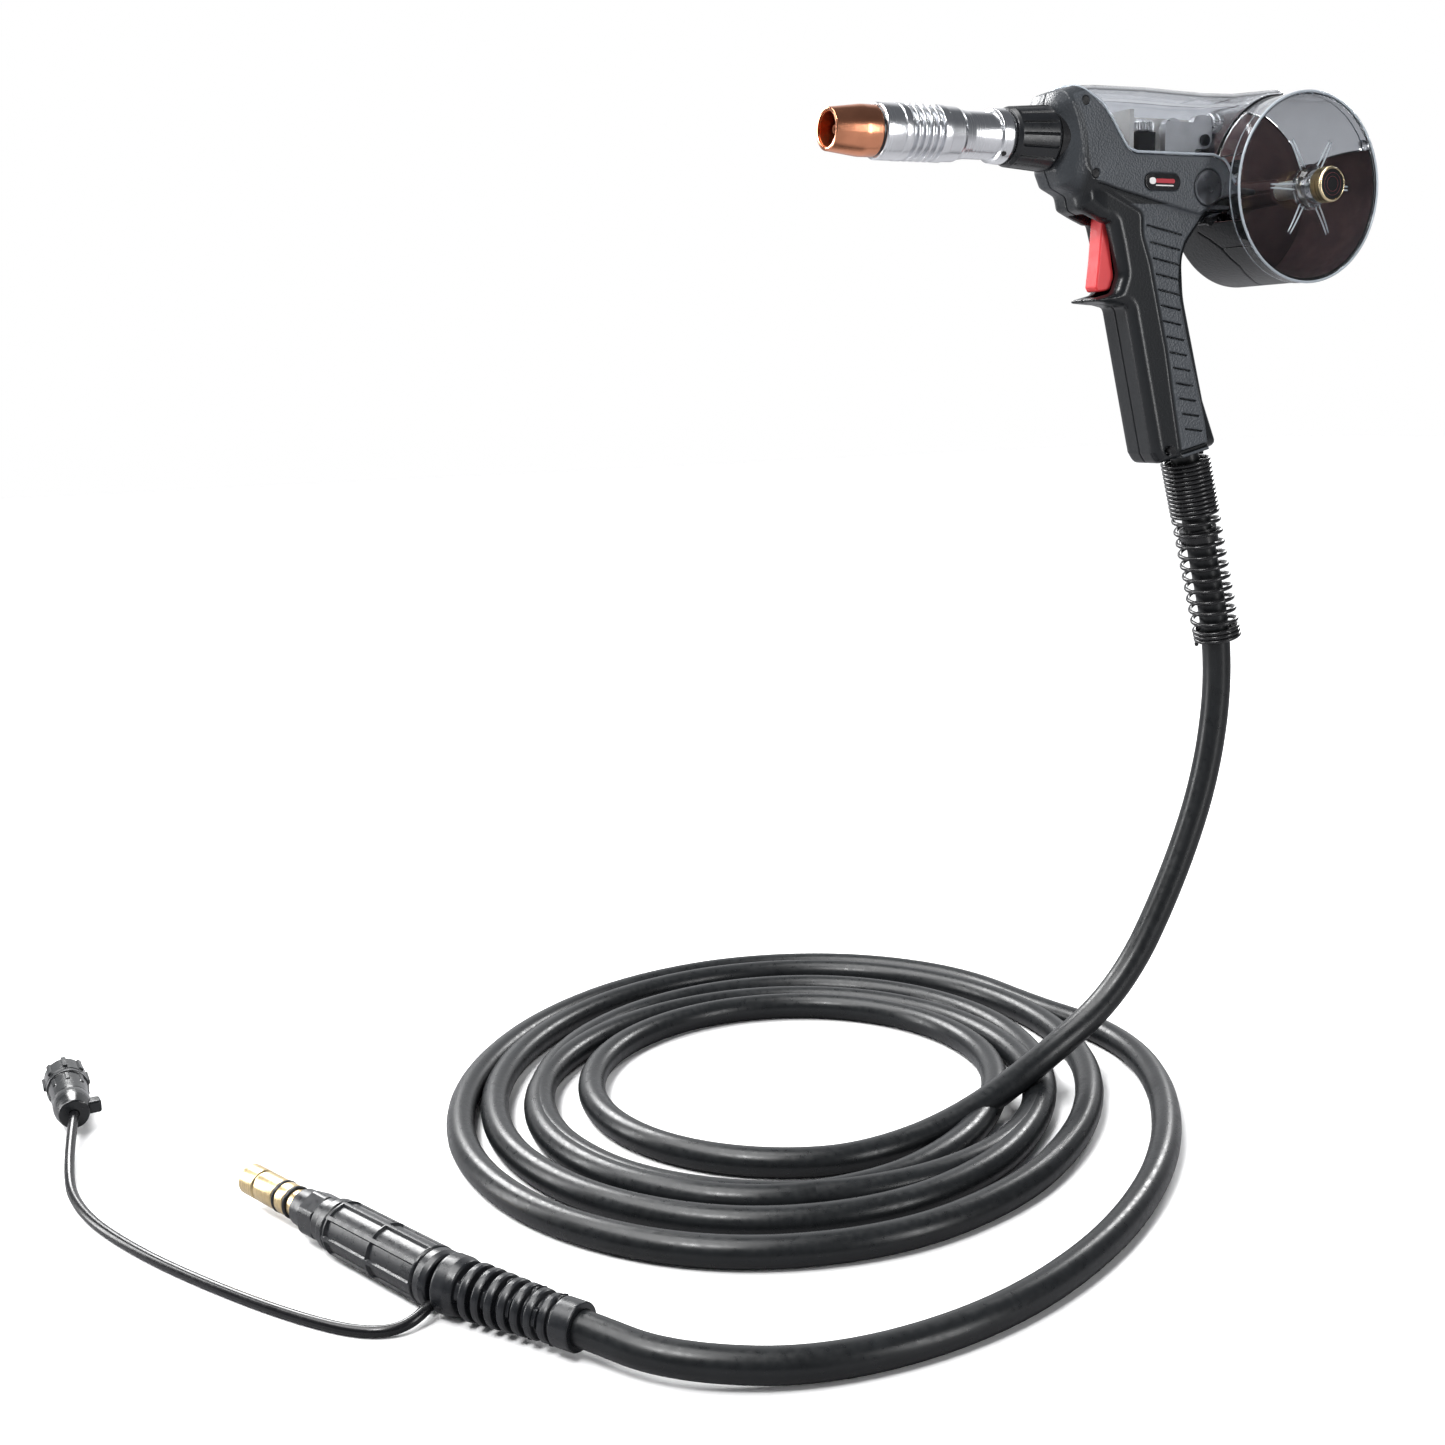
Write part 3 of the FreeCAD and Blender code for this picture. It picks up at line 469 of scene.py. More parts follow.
def wire(name, points, radius, finish, replaced="", body="gun", closed=False):
    """A round wire on a smooth curve."""
    curve = bpy.data.curves.new(name, "CURVE")
    curve.dimensions = "3D"
    curve.bevel_depth = 1
    curve.bevel_resolution = 3
    curve.use_fill_caps = True
    curve.resolution_u = 4
    spline = curve.splines.new("NURBS")
    spline.points.add(len(points) - 1)
    for place, point in zip(spline.points, points):
        place.co = (*(component * MM for component in point), 1)
        place.radius = radius * MM
    spline.order_u = 3
    spline.use_endpoint_u = not closed
    spline.use_cyclic_u = closed
    return place_piece(name, curve, finish, replaced, body)


# ---- shapes from a distance field
def line_distance(line, x, z):
    """Distance to an open line in the XZ plane."""
    nearest = np.full(x.shape, 1e9)
    for (start_x, start_z), (end_x, end_z) in zip(line, line[1:]):
        run_x, run_z = end_x - start_x, end_z - start_z
        length = run_x ** 2 + run_z ** 2
        if length < 1e-9:
            continue
        from_x, from_z = x - start_x, z - start_z
        share = np.clip((from_x * run_x + from_z * run_z) / length, 0, 1)
        nearest = np.minimum(nearest, (from_x - share * run_x) ** 2 + (from_z - share * run_z) ** 2)
    return np.sqrt(nearest)


def outline_distance(corners, x, z):
    """Distance to a closed outline in the XZ plane, negative inside."""
    line = rounded(corners)
    line = np.vstack((line, line[:1]))
    inside = np.zeros(x.shape, bool)
    for (start_x, start_z), (end_x, end_z) in zip(line, line[1:]):
        if end_z != start_z:
            crossing = start_x + (end_x - start_x) * (z - start_z) / (end_z - start_z)
            inside ^= ((start_z > z) != (end_z > z)) & (x < crossing)
    return line_distance(line, x, z) * np.where(inside, -1, 1)


def prism(outline, y, half, edge):
    """An outline, as deep as half on both sides of y = 0, with its edges rounded."""
    across = outline[..., None] + edge
    depth = np.abs(y) - half + edge
    corner = np.hypot(np.maximum(across, 0), np.maximum(depth, 0))
    return np.minimum(np.maximum(across, depth), 0) + corner - edge


def blend(first, second, fillet):
    share = np.clip(0.5 + 0.5 * (second - first) / fillet, 0, 1)
    return second + (first - second) * share - fillet * share * (1 - share)


def overlap(*shapes):
    """The space that is inside every one of the shapes."""
    return functools.reduce(np.maximum, shapes)


def carve(shape, tool, fillet=0.5):
    return -blend(-shape, tool, fillet)


def smooth_step(low, high, value):
    share = np.clip((value - low) / (high - low), 0, 1)
    return share * share * (3 - 2 * share)


def surface_net(field, origin, step):
    """Points and quads of the surface where the field is zero; the axes are x, z and y."""
    inside = field < 0
    cells = tuple(size - 1 for size in field.shape)
    count = np.zeros(cells, np.int8)
    corners = [(a, b, c) for a in (0, 1) for b in (0, 1) for c in (0, 1)]
    for a, b, c in corners:
        count += inside[a:a + cells[0], b:b + cells[1], c:c + cells[2]]
    chosen = np.argwhere((count > 0) & (count < 8))
    number = np.full(cells, -1, np.int64)
    number[tuple(chosen.T)] = np.arange(len(chosen))
    total = np.zeros((len(chosen), 3))
    hits = np.zeros(len(chosen))
    for axis in range(3):
        for a, b, c in corners:
            if (a, b, c)[axis]:
                continue
            near = np.array((a, b, c))
            far = near + np.eye(3, dtype=int)[axis]
            start = field[tuple((chosen + near).T)]
            finish = field[tuple((chosen + far).T)]
            crossed = (start < 0) != (finish < 0)
            share = start[crossed] / (start[crossed] - finish[crossed])
            total[crossed] += near + share[:, None] * (far - near)
            hits[crossed] += 1
    points = np.array(origin) + step * (chosen + total / hits[:, None])
    faces = []
    for axis in range(3):
        second, third = (axis + 1) % 3, (axis + 2) % 3
        ahead = np.eye(3, dtype=int)[axis]
        lower = inside[tuple(slice(size - less) for size, less in zip(inside.shape, ahead))]
        upper = inside[ahead[0]:, ahead[1]:, ahead[2]:]
        edges = np.argwhere(lower != upper)
        edges = edges[(edges[:, second] > 0) & (edges[:, third] > 0) & (edges[:, second] < cells[second])
            & (edges[:, third] < cells[third])]
        around = []
        for back_second, back_third in ((1, 1), (0, 1), (0, 0), (1, 0)):
            place = edges.copy()
            place[:, second] -= back_second
            place[:, third] -= back_third
            around.append(number[tuple(place.T)])
        quads = np.stack(around, axis=1)
        leaving = lower[tuple(edges.T)]
        quads[leaving] = quads[leaving][:, ::-1]
        faces.append(quads)
    return points[:, (0, 2, 1)], np.concatenate(faces)


def set_grain_and_sheen(item, values):
    """How strongly each point shows its material's texture, and the nylon's painted sheen."""
    attribute = item.data.attributes.new("grain", "FLOAT", "POINT")
    attribute.data.foreach_set("value", values.astype(np.float32))


def field_piece(name, field, origin, step, finish, slot, replaced, mirrored=False, grain=None, **options):
    points, quads = surface_net(field, origin, step)
    if mirrored:
        points = points * (1, -1, 1)
        quads = quads[:, ::-1]
    item = add(name, points, quads.tolist(), finish, slot, replaced, tidy=False, **options)
    if grain is not None:
        set_grain_and_sheen(item, grain(points[:, 0], np.abs(points[:, 1]), points[:, 2]))
    return item


# ---- body shells
SHELL_OUTLINE = (
    (-85, 116, 3), (-85, 154, 6), (-80.4, 161.6, 4), (-74, 163.2, 0.5), (-66.9, 157.3, 6),
    (-58.2, 151.7, 8), (-51.1, 143.3), (-45.6, 135.5), (-40.2, 128.4, 5), (-34, 126.3, 3),
    (23.6, 126.3, 6), (33.5, 123.5, 6), (37.5, 117, 3), (42, 110.6, 1), (60, 108, 1), (60, 91.5, 1),
    (49, 87.5, 5), (38, 92.5, 8), (24, 91.5, 10), (7.5, 71, 24), (9.6, 45, 60), (26.7, -16.8),
    (38.5, -44.5, 4), (-7.3, -54.8, 5), (-12.2, -48), (-33.4, 39.3, 4), (-42, 41.2, 6),
    (-57.2, 42.3, 0.6), (-57.2, 44.2, 0.6), (-42.5, 47.6, 6), (-38.6, 58, 8), (-42.4, 74, 20),
    (-46.5, 87.6, 2), (-50, 87.6, 3), (-60, 91.4, 3), (-68.6, 95, 4), (-70.5, 102.8, 3),
    (-81, 107.5, 4),
)
SIDE_PANEL = (
    (-80, 170), (-80, 153.6, 10), (-73.9, 145.7, 10), (-71, 137.6, 20), (-67.9, 118.5, 10),
    (-62.8, 110.3, 5), (-46, 105.7, 20), (-1.1, 95.9, 20), (15, 92.7, 8), (24.2, 97.5, 8),
    (31.1, 101.7, 8), (44, 104.5), (70, 105), (70, 170),
)
HANDLE_PANEL = (
    (-58, 108), (-25.6, 93.5, 6), (-25.4, 80.9, 20), (-19.1, 64.9, 40), (-5.8, 13.6, 60),
    (1.2, -22.1, 40), (7.5, -52), (30, -50), (26.9, -41.1, 4), (25.1, -31.9, 20), (9.6, 19.3, 60),
    (3.5, 42.9, 40), (1.7, 54.6, 30), (2.9, 69.1, 20), (6.5, 77.9, 16), (14, 86.1, 10), (40, 96),
    (40, 108),
)
GUARD_EDGE = ((-90, 84), (-51, 89), (-45, 78, 20), (-39.5, 60, 12), (-44, 47.9, 8), (-56, 44.5),
    (-90, 44.5))
SCREW_PLACES = ((-70.5, 154.1), (-62.8, 114.2), (23.4, 88.6), (-2, -46.5))
DIAL_X, DIAL_Z = 20.5, 108
BADGE_LEFT, BADGE_RIGHT, BADGE_Z = -22.8, -6.2, 110.5
NET_STEP = 0.6
HOOD_OUTLINE = (
    (-140, 158), (-90, 158), (-74, 163.2, 1), (-60, 164.2, 20), (-24, 164.6), (21.5, 163.4, 60),
    (45, 164, 30), (80, 168), (200, 168), (200, -140), (-140, -140),
)


def grip_grooves():
    """The short grooves across the grip, from its top to its foot."""
    starts = np.array(((-23.2, 86.1), (-20, 76.4), (-9.2, 30.7), (9.3, -33.8)))
    ends = np.array(((3.4, 80.7), (2.1, 72), (3.9, 28.2), (22, -35.5)))
    rows = np.array((0, 1, 6, 13))
    lines = []
    for row in range(14):
        start = [np.interp(row, rows, starts[:, axis]) for axis in (0, 1)]
        finish = [np.interp(row, rows, ends[:, axis]) for axis in (0, 1)]
        lines.append(np.array((start, finish)))
    return lines


def body_field(details):
    """Half of the body as a distance field; details is True on the side with the dial."""
    xs = np.arange(-87, 63, NET_STEP)
    zs = np.arange(-58, 168, NET_STEP)
    y = np.arange(-21.6, 1.2, NET_STEP)[None, None, :]
    x, z = np.meshgrid(xs, zs, indexing="ij")
    along, up = x[..., None], z[..., None]
    outline = outline_distance(SHELL_OUTLINE, x, z)
    side_panel = np.maximum(outline, outline_distance(SIDE_PANEL, x, z))
    handle_panel = np.maximum(outline, outline_distance(HANDLE_PANEL, x, z))
    nose = smooth_step(-50, -78, x)[..., None]
    shape = prism(outline, y, 15.4 + 2.6 * nose, 6.5 + 5.5 * nose)
    shape = blend(shape, prism(side_panel, y, 20, 1.6), 2.6 + 10 * nose)
    shape = blend(shape, prism(handle_panel, y, 17, 1.2), 1.6)
    shape = np.maximum(shape, prism(outline_distance(HOOD_OUTLINE, x, z), y, 20, 10))
    guard = outline_distance(GUARD_EDGE, x, z)[..., None]
    shape = carve(shape, np.maximum(guard, np.abs(y + 30) - 17.6), 2)
    handle_rear = (smooth_step(-6, 0, x + (z + 20) * 0.27 - 2) * (z < 96))[..., None]
    channel = np.hypot(np.abs(outline[..., None] + 3.4), y + 16.4) - 1.5
    shape = carve(shape, np.where(handle_rear > 0.5, channel, 5), 0.6)
    for groove in grip_grooves():
        shape = carve(shape, np.maximum(line_distance(groove, x, z)[..., None] - 0.5, y + 15.6), 0.3)
    bay = overlap(np.abs(y) - 17.5, 113 - up, -48 - along)
    shape = carve(shape, bay, 0.8)
    slot = overlap(np.abs(y) - 6.4, 45.5 - up, up - 94, along + 29, -62 - along)
    shape = carve(shape, slot, 1.2)
    bore = np.maximum(np.hypot(y, up - AXIS_HEIGHT) - 13.6, along + 72)
    shape = carve(shape, bore, 0.8)
    drum = np.hypot(x - DRUM_X, z - DRUM_Z)[..., None] - 55.4
    behind_panel = np.maximum(drum, -13 - y)
    shape = carve(shape, np.where(up < 86, drum, behind_panel), 0.6)
    for place_x, place_z in SCREW_PLACES:
        hole = np.maximum(np.hypot(x - place_x, z - place_z)[..., None] - 2.7, y + 12)
        shape = carve(shape, hole, 0.9)
    if details:
        recess = np.hypot(x - DIAL_X, z - DIAL_Z)[..., None] - 10.9
        shape = carve(shape, np.maximum(recess, y + 18.6), 0.5)
        badge = np.hypot(x - np.clip(x, BADGE_LEFT, BADGE_RIGHT), z - BADGE_Z)[..., None] - 5.2
        shape = carve(shape, np.maximum(badge, y + 19.2), 0.5)
    return carve(shape, -(y + 0.15) + 0 * along, 0.7), (xs[0], zs[0], y[0, 0, 0])


def shell_grain_and_sheen(x, depth, z):
    """1 on the textured faces, and less on the smooth mouldings around them; the nylon's painted sheen
    follows the same value.
    """
    side = outline_distance(SIDE_PANEL, x, z)
    handle = outline_distance(HANDLE_PANEL, x, z)
    textured = smooth_step(0.5, -1.5, side) * smooth_step(17, 18.5, depth)
    handle_face = smooth_step(0.5, -1, handle) * smooth_step(15.8, 16.6, depth) * (z < 98)
    nose = smooth_step(-66, -74, x) * 0.6
    return overlap(textured, handle_face, nose, 0.08)


def make_shells():
    for name, details, mirrored in (("left_body", True, False), ("right_body", False, True)):
        field, origin = body_field(details)
        field_piece(name, field, origin, NET_STEP, "shell", "black_shell", "right_shell" if mirrored
            else "left_shell", mirrored=mirrored, grain=shell_grain_and_sheen, crease=60)


# ---- drum
def on_drum(y):
    return DRUM_X, y, DRUM_Z


def drum_point(angle, radius, y):
    return (DRUM_X + radius * cos(angle), y, DRUM_Z + radius * sin(angle))


def make_drum():
    """The open black drum: a wall round the lower part, and a back plate."""
    seam_turns = np.radians((204.5, 211, 218, 234, 250, 267.5, 290))
    seam_depths = (0, -8.5, -14.5, -18.5, -14, -6, -1)
    first, last = radians(162.3), radians(385.9)
    turns = np.linspace(first, last, 420)
    section = divided(rounded(((-39.2, 52.6, 0.5), (-39.2, 55, 0.6), (21, 55, 2.5), (21, 51, 1),
        (18.5, 51, 1), (18.5, 52.6, 1))), 0.7, True)
    points = []
    for turn in turns:
        seam = np.interp(turn, seam_turns, seam_depths, left=60, right=60)
        front = -12.8 if turn < radians(201) else -39.2
        for y, radius in section:
            depth = max(y, front)
            cut = 0.7 * exp(-((depth - seam) / 0.5) ** 2) if radius > 54 else 0
            if radius > 54 and abs(turn - radians(218)) < 0.011 and depth < -14.5:
                cut = 0.6
            points.append(drum_point(turn, radius - cut, depth))
    count = len(section)
    faces = grid_faces(len(turns), count)
    faces.append(tuple(range(count)))
    faces.append(tuple((len(turns) - 1) * count + index for index in reversed(range(count))))
    wall = add("drum_wall", points, faces, "drum", "drum_black", "drum_shell", crease=40)
    wall.data.materials.append(MATERIALS["inside"])
    for face in wall.data.polygons:
        x, y, z = face.center / MM
        if hypot(x - DRUM_X, z - DRUM_Z) < 53 and y < 18.4:
            face.material_index = 1
    # The drum's wall shows part of the nylon's texture and part of its painted sheen.
    set_grain_and_sheen(wall, np.full(len(wall.data.vertices), 0.45))
    turned("drum_plate", on_drum(18.6), Y_AXIS, ((0, 0), (0, 12, 2), (-1.6, 14, 1), (-1.6, 22, 1),
        (0, 24, 1), (0, 53.3, 0.4), (2.3, 53.3, 0.8), (2.3, 0)), "drum", "drum_black")
    turned("drum_lining", on_drum(17.9), Y_AXIS, ((0, 0), (0, 51.8, 0.2), (0.5, 51.8, 0.1), (0.5, 0)),
        "inside", "drum_black")


# ---- clear cover
BAY_OUTLINE = (
    (-74, 163.2, 1), (-60, 164.2, 20), (-24, 164.6), (21.5, 163.4, 60), (45, 164, 30), (80, 168),
    (80, 111), (42.3, 110.9), (38, 117.3, 3), (33.8, 123.8, 6), (23.8, 126.6, 6), (-33.7, 126.6, 3),
    (-39.8, 128.8, 5), (-45.2, 135.9), (-50.7, 143.7), (-57.9, 152.2, 8), (-66.5, 157.8, 6),
)
CUT_LINE = (
    (-72.5, 162.6), (-66.9, 158.2, 6), (-58.2, 152.6, 8), (-51.1, 144.2), (-45.6, 136.4),
    (-40.2, 129.2, 5), (-33.7, 127.1, 3), (23.8, 127.1, 6), (33.9, 124.2, 6), (38, 117.8, 3),
    (42.3, 111.6),
)
PARTING = ((-20, 126.6), (23.8, 126.6, 6), (33.8, 123.8, 6), (38, 117.3, 3), (42.3, 111.2, 1),
    (130.5, 131.8), (160, 139), (160, 30), (-20, 30))


def make_clear_cover():
    step = 0.6
    xs = np.arange(-76, 139, step)
    zs = np.arange(49.5, 169, step)
    y = np.arange(-43.2, 22.8, step)[None, None, :]
    x, z = np.meshgrid(xs, zs, indexing="ij")
    top = outline_distance(HOOD_OUTLINE, x, z)
    bay_area = outline_distance(BAY_OUTLINE, x, z)[..., None]
    outer = prism(top, y, 20, 10)
    inner = prism(top + 2.2, y, 17.8, 8)
    drum = np.hypot(x - DRUM_X, z - DRUM_Z)[..., None]
    arch = overlap(outer, -inner, bay_area, y - 18.3, 54.5 - drum)
    above = -outline_distance(PARTING, x, z)[..., None]
    wall = overlap(drum - 55.6, 53.6 - drum, np.abs(y + 10.2) - 30.8, above)
    collar = overlap(drum - 55.6, 54 - drum, np.abs(y + 37) - 4.2)
    wall = np.minimum(wall, collar)
    shape = blend(arch, wall, 1.5)
    tab_x, tab_z = DRUM_X + 55 * cos(0.49), DRUM_Z + 55 * sin(0.49)
    tab = np.hypot(x - tab_x, z - tab_z)[..., None]
    shape = blend(shape, np.maximum(tab - 3.2, np.abs(y + 36) - 3.4), 1.2)
    field_piece("clear_cover_shell", shape, (xs[0], zs[0], y[0, 0, 0]), step, "clear", "clear_cover",
        "clear_cover", body="cover", crease=50)
    turned("cover_disc", on_drum(-41.5), Y_AXIS, ((0, 4.4, 0.2), (0, 54.9, 0.5), (2, 54.9, 0.4),
        (2, 4.4, 0.2)), "smoke", "clear_cover", body="cover", sides=192)
    window = overlap(top + 1.5, bay_area[..., 0] + 0.3, 56.5 - drum[..., 0])
    y = np.arange(17, 22.6, 0.5)[None, None, :]
    back = prism(window, y - 19.75, 1.25, 0.6)
    field_piece("bay_back_window", back[..., ::1], (xs[0], zs[0], 17), step, "clear", "clear_cover",
        "back_window", crease=50)


# The trim pieces are thin pale beads: painted highlight along the clear cover's rim, cut line and ribs,
# which are real edges of the cover.
def make_cover_trim():
    centre = on_drum(-41.3)
    # Two thin rings on the disc's rim: painted highlight of its double bright edge.
    for name, depth, radius in (("cover_rim_front_glint", -41.2, 0.75), ("cover_rim_back_glint", -33.6, 0.5)):
        turned(name, on_drum(depth), Y_AXIS, ((-radius, 54.6, radius * 0.9), (-radius, 54.6 + 2 * radius,
            radius * 0.9), (radius, 54.6 + 2 * radius, radius * 0.9), (radius, 54.6, radius * 0.9)), "edge",
            "clear_cover", body="cover", sides=192)
    cut_line = divided(rounded(CUT_LINE, closed=False), 1.5, False)
    near_side = [(x, -9.6 - sqrt(100 - max(0, z - 153.4) ** 2), z) for x, z in cut_line]
    over_top = [(-74.2, y, 163.4) for y in (-6, 0, 6)]
    far_side = [(x, -y, z) for x, y, z in near_side[:-16]]
    # A pale bead along the cover's cut line: painted highlight of the clear edge there.
    wire("cover_cut_glint_bead", [*near_side[::-1], *over_top, *far_side], 0.8, "edge",
        body="cover")
    turned("cover_boss", centre, -Y_AXIS, ((-1.5, 4.4), (-1.5, 13.4, 0.5), (1.6, 13.4, 0.8), (1.8, 12, 0.5),
        (5, 10.4, 0.8), (5.6, 9.6, 0.5), (8.8, 9.2, 0.8), (8.8, 4.4, 0.4)), "crystal", "clear_cover",
        body="cover")
    for turn in range(6):
        angle = radians(60 * turn)
        outward = np.array((cos(angle), 0, sin(angle)))
        aside = np.array((-sin(angle), 0, cos(angle)))
        for offset in (-1.3, 1.3):
            start = np.array(centre) + outward * 12 + aside * offset * 1.2
            finish = np.array(centre) + outward * 31 + aside * offset * 0.8
            points = [start + (0, 0.2, 0), start + (0, -0.5, 0) + outward * 2, finish + (0, -0.5, 0)
                - outward * 3, finish + (0, 0.4, 0)]
            # Pale beads along the disc's ribs: painted highlight of the clear ribs.
            wire(f"cover_rib_glint_{turn}_{'a' if offset < 0 else 'b'}", points, 0.5, "edge",
                body="cover")


def make_cover_nut():
    start = on_drum(-50.5)
    turned("cover_nut_knob", start, -Y_AXIS, ((0, 4.2), (0, 9.3, 0.5), (1.3, 10.1, 0.4), (8.3, 10.1, 0.4),
        (9.4, 9.5, 0.6), (9.4, 8.9, 0.2), (8.4, 8.7, 0.2), (8.4, 4.2)), "nut_brass", "brass", "cover_nut",
        change=knurl(9.6, 0.28, 60, (0.8, 1.6), (8.8, 8)), step=0.6, sides=360, body="cover_nut")
    turned("cover_nut_insert", start, -Y_AXIS, ((8.3, 0), (8.3, 8.65, 0.2), (9.1, 8.5, 0.3), (9.1, 0)),
        "gloss", "badge", "nut_label", body="cover_nut")
    for radius in (6.6, 4.4):
        ring = [drum_point(turn * pi / 8, radius, -59.65) for turn in range(16)]
        wire(f"cover_nut_ring_{radius:.0f}", ring, 0.12, "mark_dim", body="cover_nut", closed=True)


def make_spool_axle():
    def slots(distance, angle, radius):
        return np.where((radius > 7.5) & (radius < 9) & (distance < 3), -0.9 * (np.cos(6 * angle) > 0.8), 0)

    axis = on_drum(0)
    turned("spool_hub_sleeve", axis, Y_AXIS, ((-36, 5.2), (-36, 5.8, 0.3), (-16, 5.8, 0.2), (-16, 5.2)),
        "white", "nylon_white", "spool_hub", body="spool_hub")
    turned("spool_hub_flange", axis, Y_AXIS, ((-16, 5.2), (-16, 7.8, 0.5), (4.5, 8, 1.5), (6, 10, 1),
        (6, 15, 0.6), (8.2, 15, 0.6), (8.2, 5.2)), "inside", "nylon_white", body="spool_hub", change=slots,
        step=1.5, sides=144)
    coil = []
    for step in range(49):
        angle = step * 2 * pi / 12
        coil.append(drum_point(angle, 8.5, 9.9 + 2.4 * step / 48))
    wire("brake_coil", coil, 0.7, "steel", "brake_spring")


# ---- dial and badge
def make_dial():
    turned("speed_dial_knob", (DIAL_X, -20.3, DIAL_Z), Y_AXIS, ((0.25, 0), (0.25, 1.4, 0.2), (0, 2, 0.2),
        (0, 9.6, 0.5), (0.6, 10.3, 0.4), (3, 10.3, 0.4), (3, 0)), "dial", "black_gloss", "speed_dial",
        body="speed_dial", change=knurl(9.7, 0.22, 48, (0.5, 1.2)), step=0.5, sides=288)
    for index in range(9):
        angle = radians(33.75 * index - 225)
        away = np.array((cos(angle), 0, sin(angle)))
        start = np.array((DIAL_X, -20, DIAL_Z)) + away * 12
        wire(f"dial_tick_{index}", [start, start + away * 0.9, start + away * 1.8], 0.2, "gearbox")


def pill(left, right, height, radius):
    return oblong(left - radius, right + radius, height - radius, height + radius, radius * 0.98)


BADGE_MARKS = (
    ("badge_stripe", (-19, -7, BADGE_Z + 0.5, 1.25), -20.6, 0.1, "mark_red"),
    ("badge_dot", (-22.8, -21.8, BADGE_Z + 0.4, 1.9), -20.62, 0.1, "mark_white"),
    ("badge_line", (-19.5, -7, BADGE_Z - 2.1, 0.35), -20.6, 0.08, "mark_white"),
)


def make_badge():
    moulded("badge_plate", pill(BADGE_LEFT, BADGE_RIGHT, BADGE_Z, 4.7), -20.4, -19, 0.35, "gloss", "badge",
        "name_badge")
    for name, sizes, front, edge, finish in BADGE_MARKS:
        moulded(name, pill(*sizes), front, -20.3, edge, finish, "badge")


# ---- barrel
def on_barrel(x):
    return (x, 0, AXIS_HEIGHT)


def make_nozzle():
    turned("nozzle_cup", on_barrel(-230.7), X_AXIS, ((0.2, 9.7, 0.3), (0, 10.6, 0.4), (0.3, 11.5, 0.5),
        (18.7, 13.75, 1.5), (20.5, 13.9, 2), (28.6, 13.9, 0.5), (29, 13.4, 0.4), (29, 12.2, 0.3),
        (22, 12.2, 0.5), (22, 9.7, 0.5)), "copper", "copper", "gas_nozzle", body="nozzle")
    turned("nozzle_lining", on_barrel(-229.6), X_AXIS, ((0, 9.35, 0.2), (0, 9.72), (20, 9.72), (20, 9.35)),
        "copper_inside", "copper", body="nozzle")


def make_barrel():
    profile = [(-1.2, 9.1, 0.4), (-1.2, 14.6, 0.5), (-0.4, 15.3, 0.6), (10.8, 15.3, 0.2), (11, 14.9, 0.1),
        (11.4, 15.5, 0.3)]
    for groove in range(5):
        start = 15.6 + 4.43 * groove
        profile += [(start, 15.5, 0.4), (start + 0.8, 12.4, 0.9), (start + 2.4, 12.4, 0.9),
            (start + 3.2, 15.5, 0.4)]
    profile += [(41.3, 15.5, 0.2), (41.6, 15.1, 0.1), (50, 14.9, 2), (52.2, 13.8, 1), (58, 13, 3),
        (75.4, 13, 0.4), (76, 15, 0.5), (82.4, 15.4, 0.8), (85.2, 14.2, 0.4), (85.2, 13), (125.5, 13),
        (125.5, 9.1)]
    turned("barrel_body", on_barrel(-199.4), X_AXIS, profile, "aluminium", "aluminium", "barrel_sleeve",
        sides=128)
    turned("barrel_gap_ring", on_barrel(-201.7), X_AXIS, ((0, 9.6), (0, 13.6, 0.2), (2.4, 13.6, 0.2),
        (2.4, 9.6)), "gloss", "black_gloss", "insulator")


def make_barrel_nut():
    def flutes(distance, angle, radius):
        inside = smooth_step(2.6, 4.2, distance) * smooth_step(27.2, 25.6, distance)
        dips = np.clip((np.cos(16 * angle) - 0.8) / 0.2, 0, 1)
        return np.where(radius > 15, -1.15 * dips * inside, 0)

    turned("barrel_nut_grip", on_barrel(-113.8), X_AXIS, ((0, 13.1), (0, 15.4, 0.8), (2.2, 16.7, 0.8),
        (26.4, 18.6, 1.2), (28.2, 17.6, 0.8), (28.2, 13.1)), "rubber", "black_gloss", "barrel_nut",
        change=flutes, step=0.8, sides=384, body="barrel_nut")


# ---- trigger
def make_trigger():
    outline = ((-47.6, 85.4, 1.5), (-47, 95, 3), (-40, 95, 3), (-42.6, 84, 4), (-39.8, 68, 20),
        (-37.8, 57, 5), (-40.6, 49.6, 2), (-49.5, 48.3, 2), (-51.2, 51.4, 2), (-49.3, 66, 30))
    moulded("trigger_lever", outline, -5.6, 5.6, 1.3, "red", "red_plastic", "trigger", body="trigger")


# ---- wire feeder
CARRIED_OVER = {
    "steel": "arm_spring motor drive_roll output_shaft idle_roll idle_axle spool_spindle brake_washer"
             " wire_liner trigger_pin trigger_spring",
    "copper": "gas_diffuser contact_tip conductor_tube",
    "brass": "outlet_guide inlet_guide lead_plug_pins",
    # arm_pin takes the black gloss so the hole in the pressure arm reads dark: painted shade.
    "gloss": "guide_block arm_pin dial_sensor barrel_socket trigger_switch",
    "white": "front_plate feed_frame",
    "pale": "pressure_arm tension_post",
    "spring": "screws cable_clamp",
    "gearbox": "gearbox",
    "ring": "plug_o_rings",
}


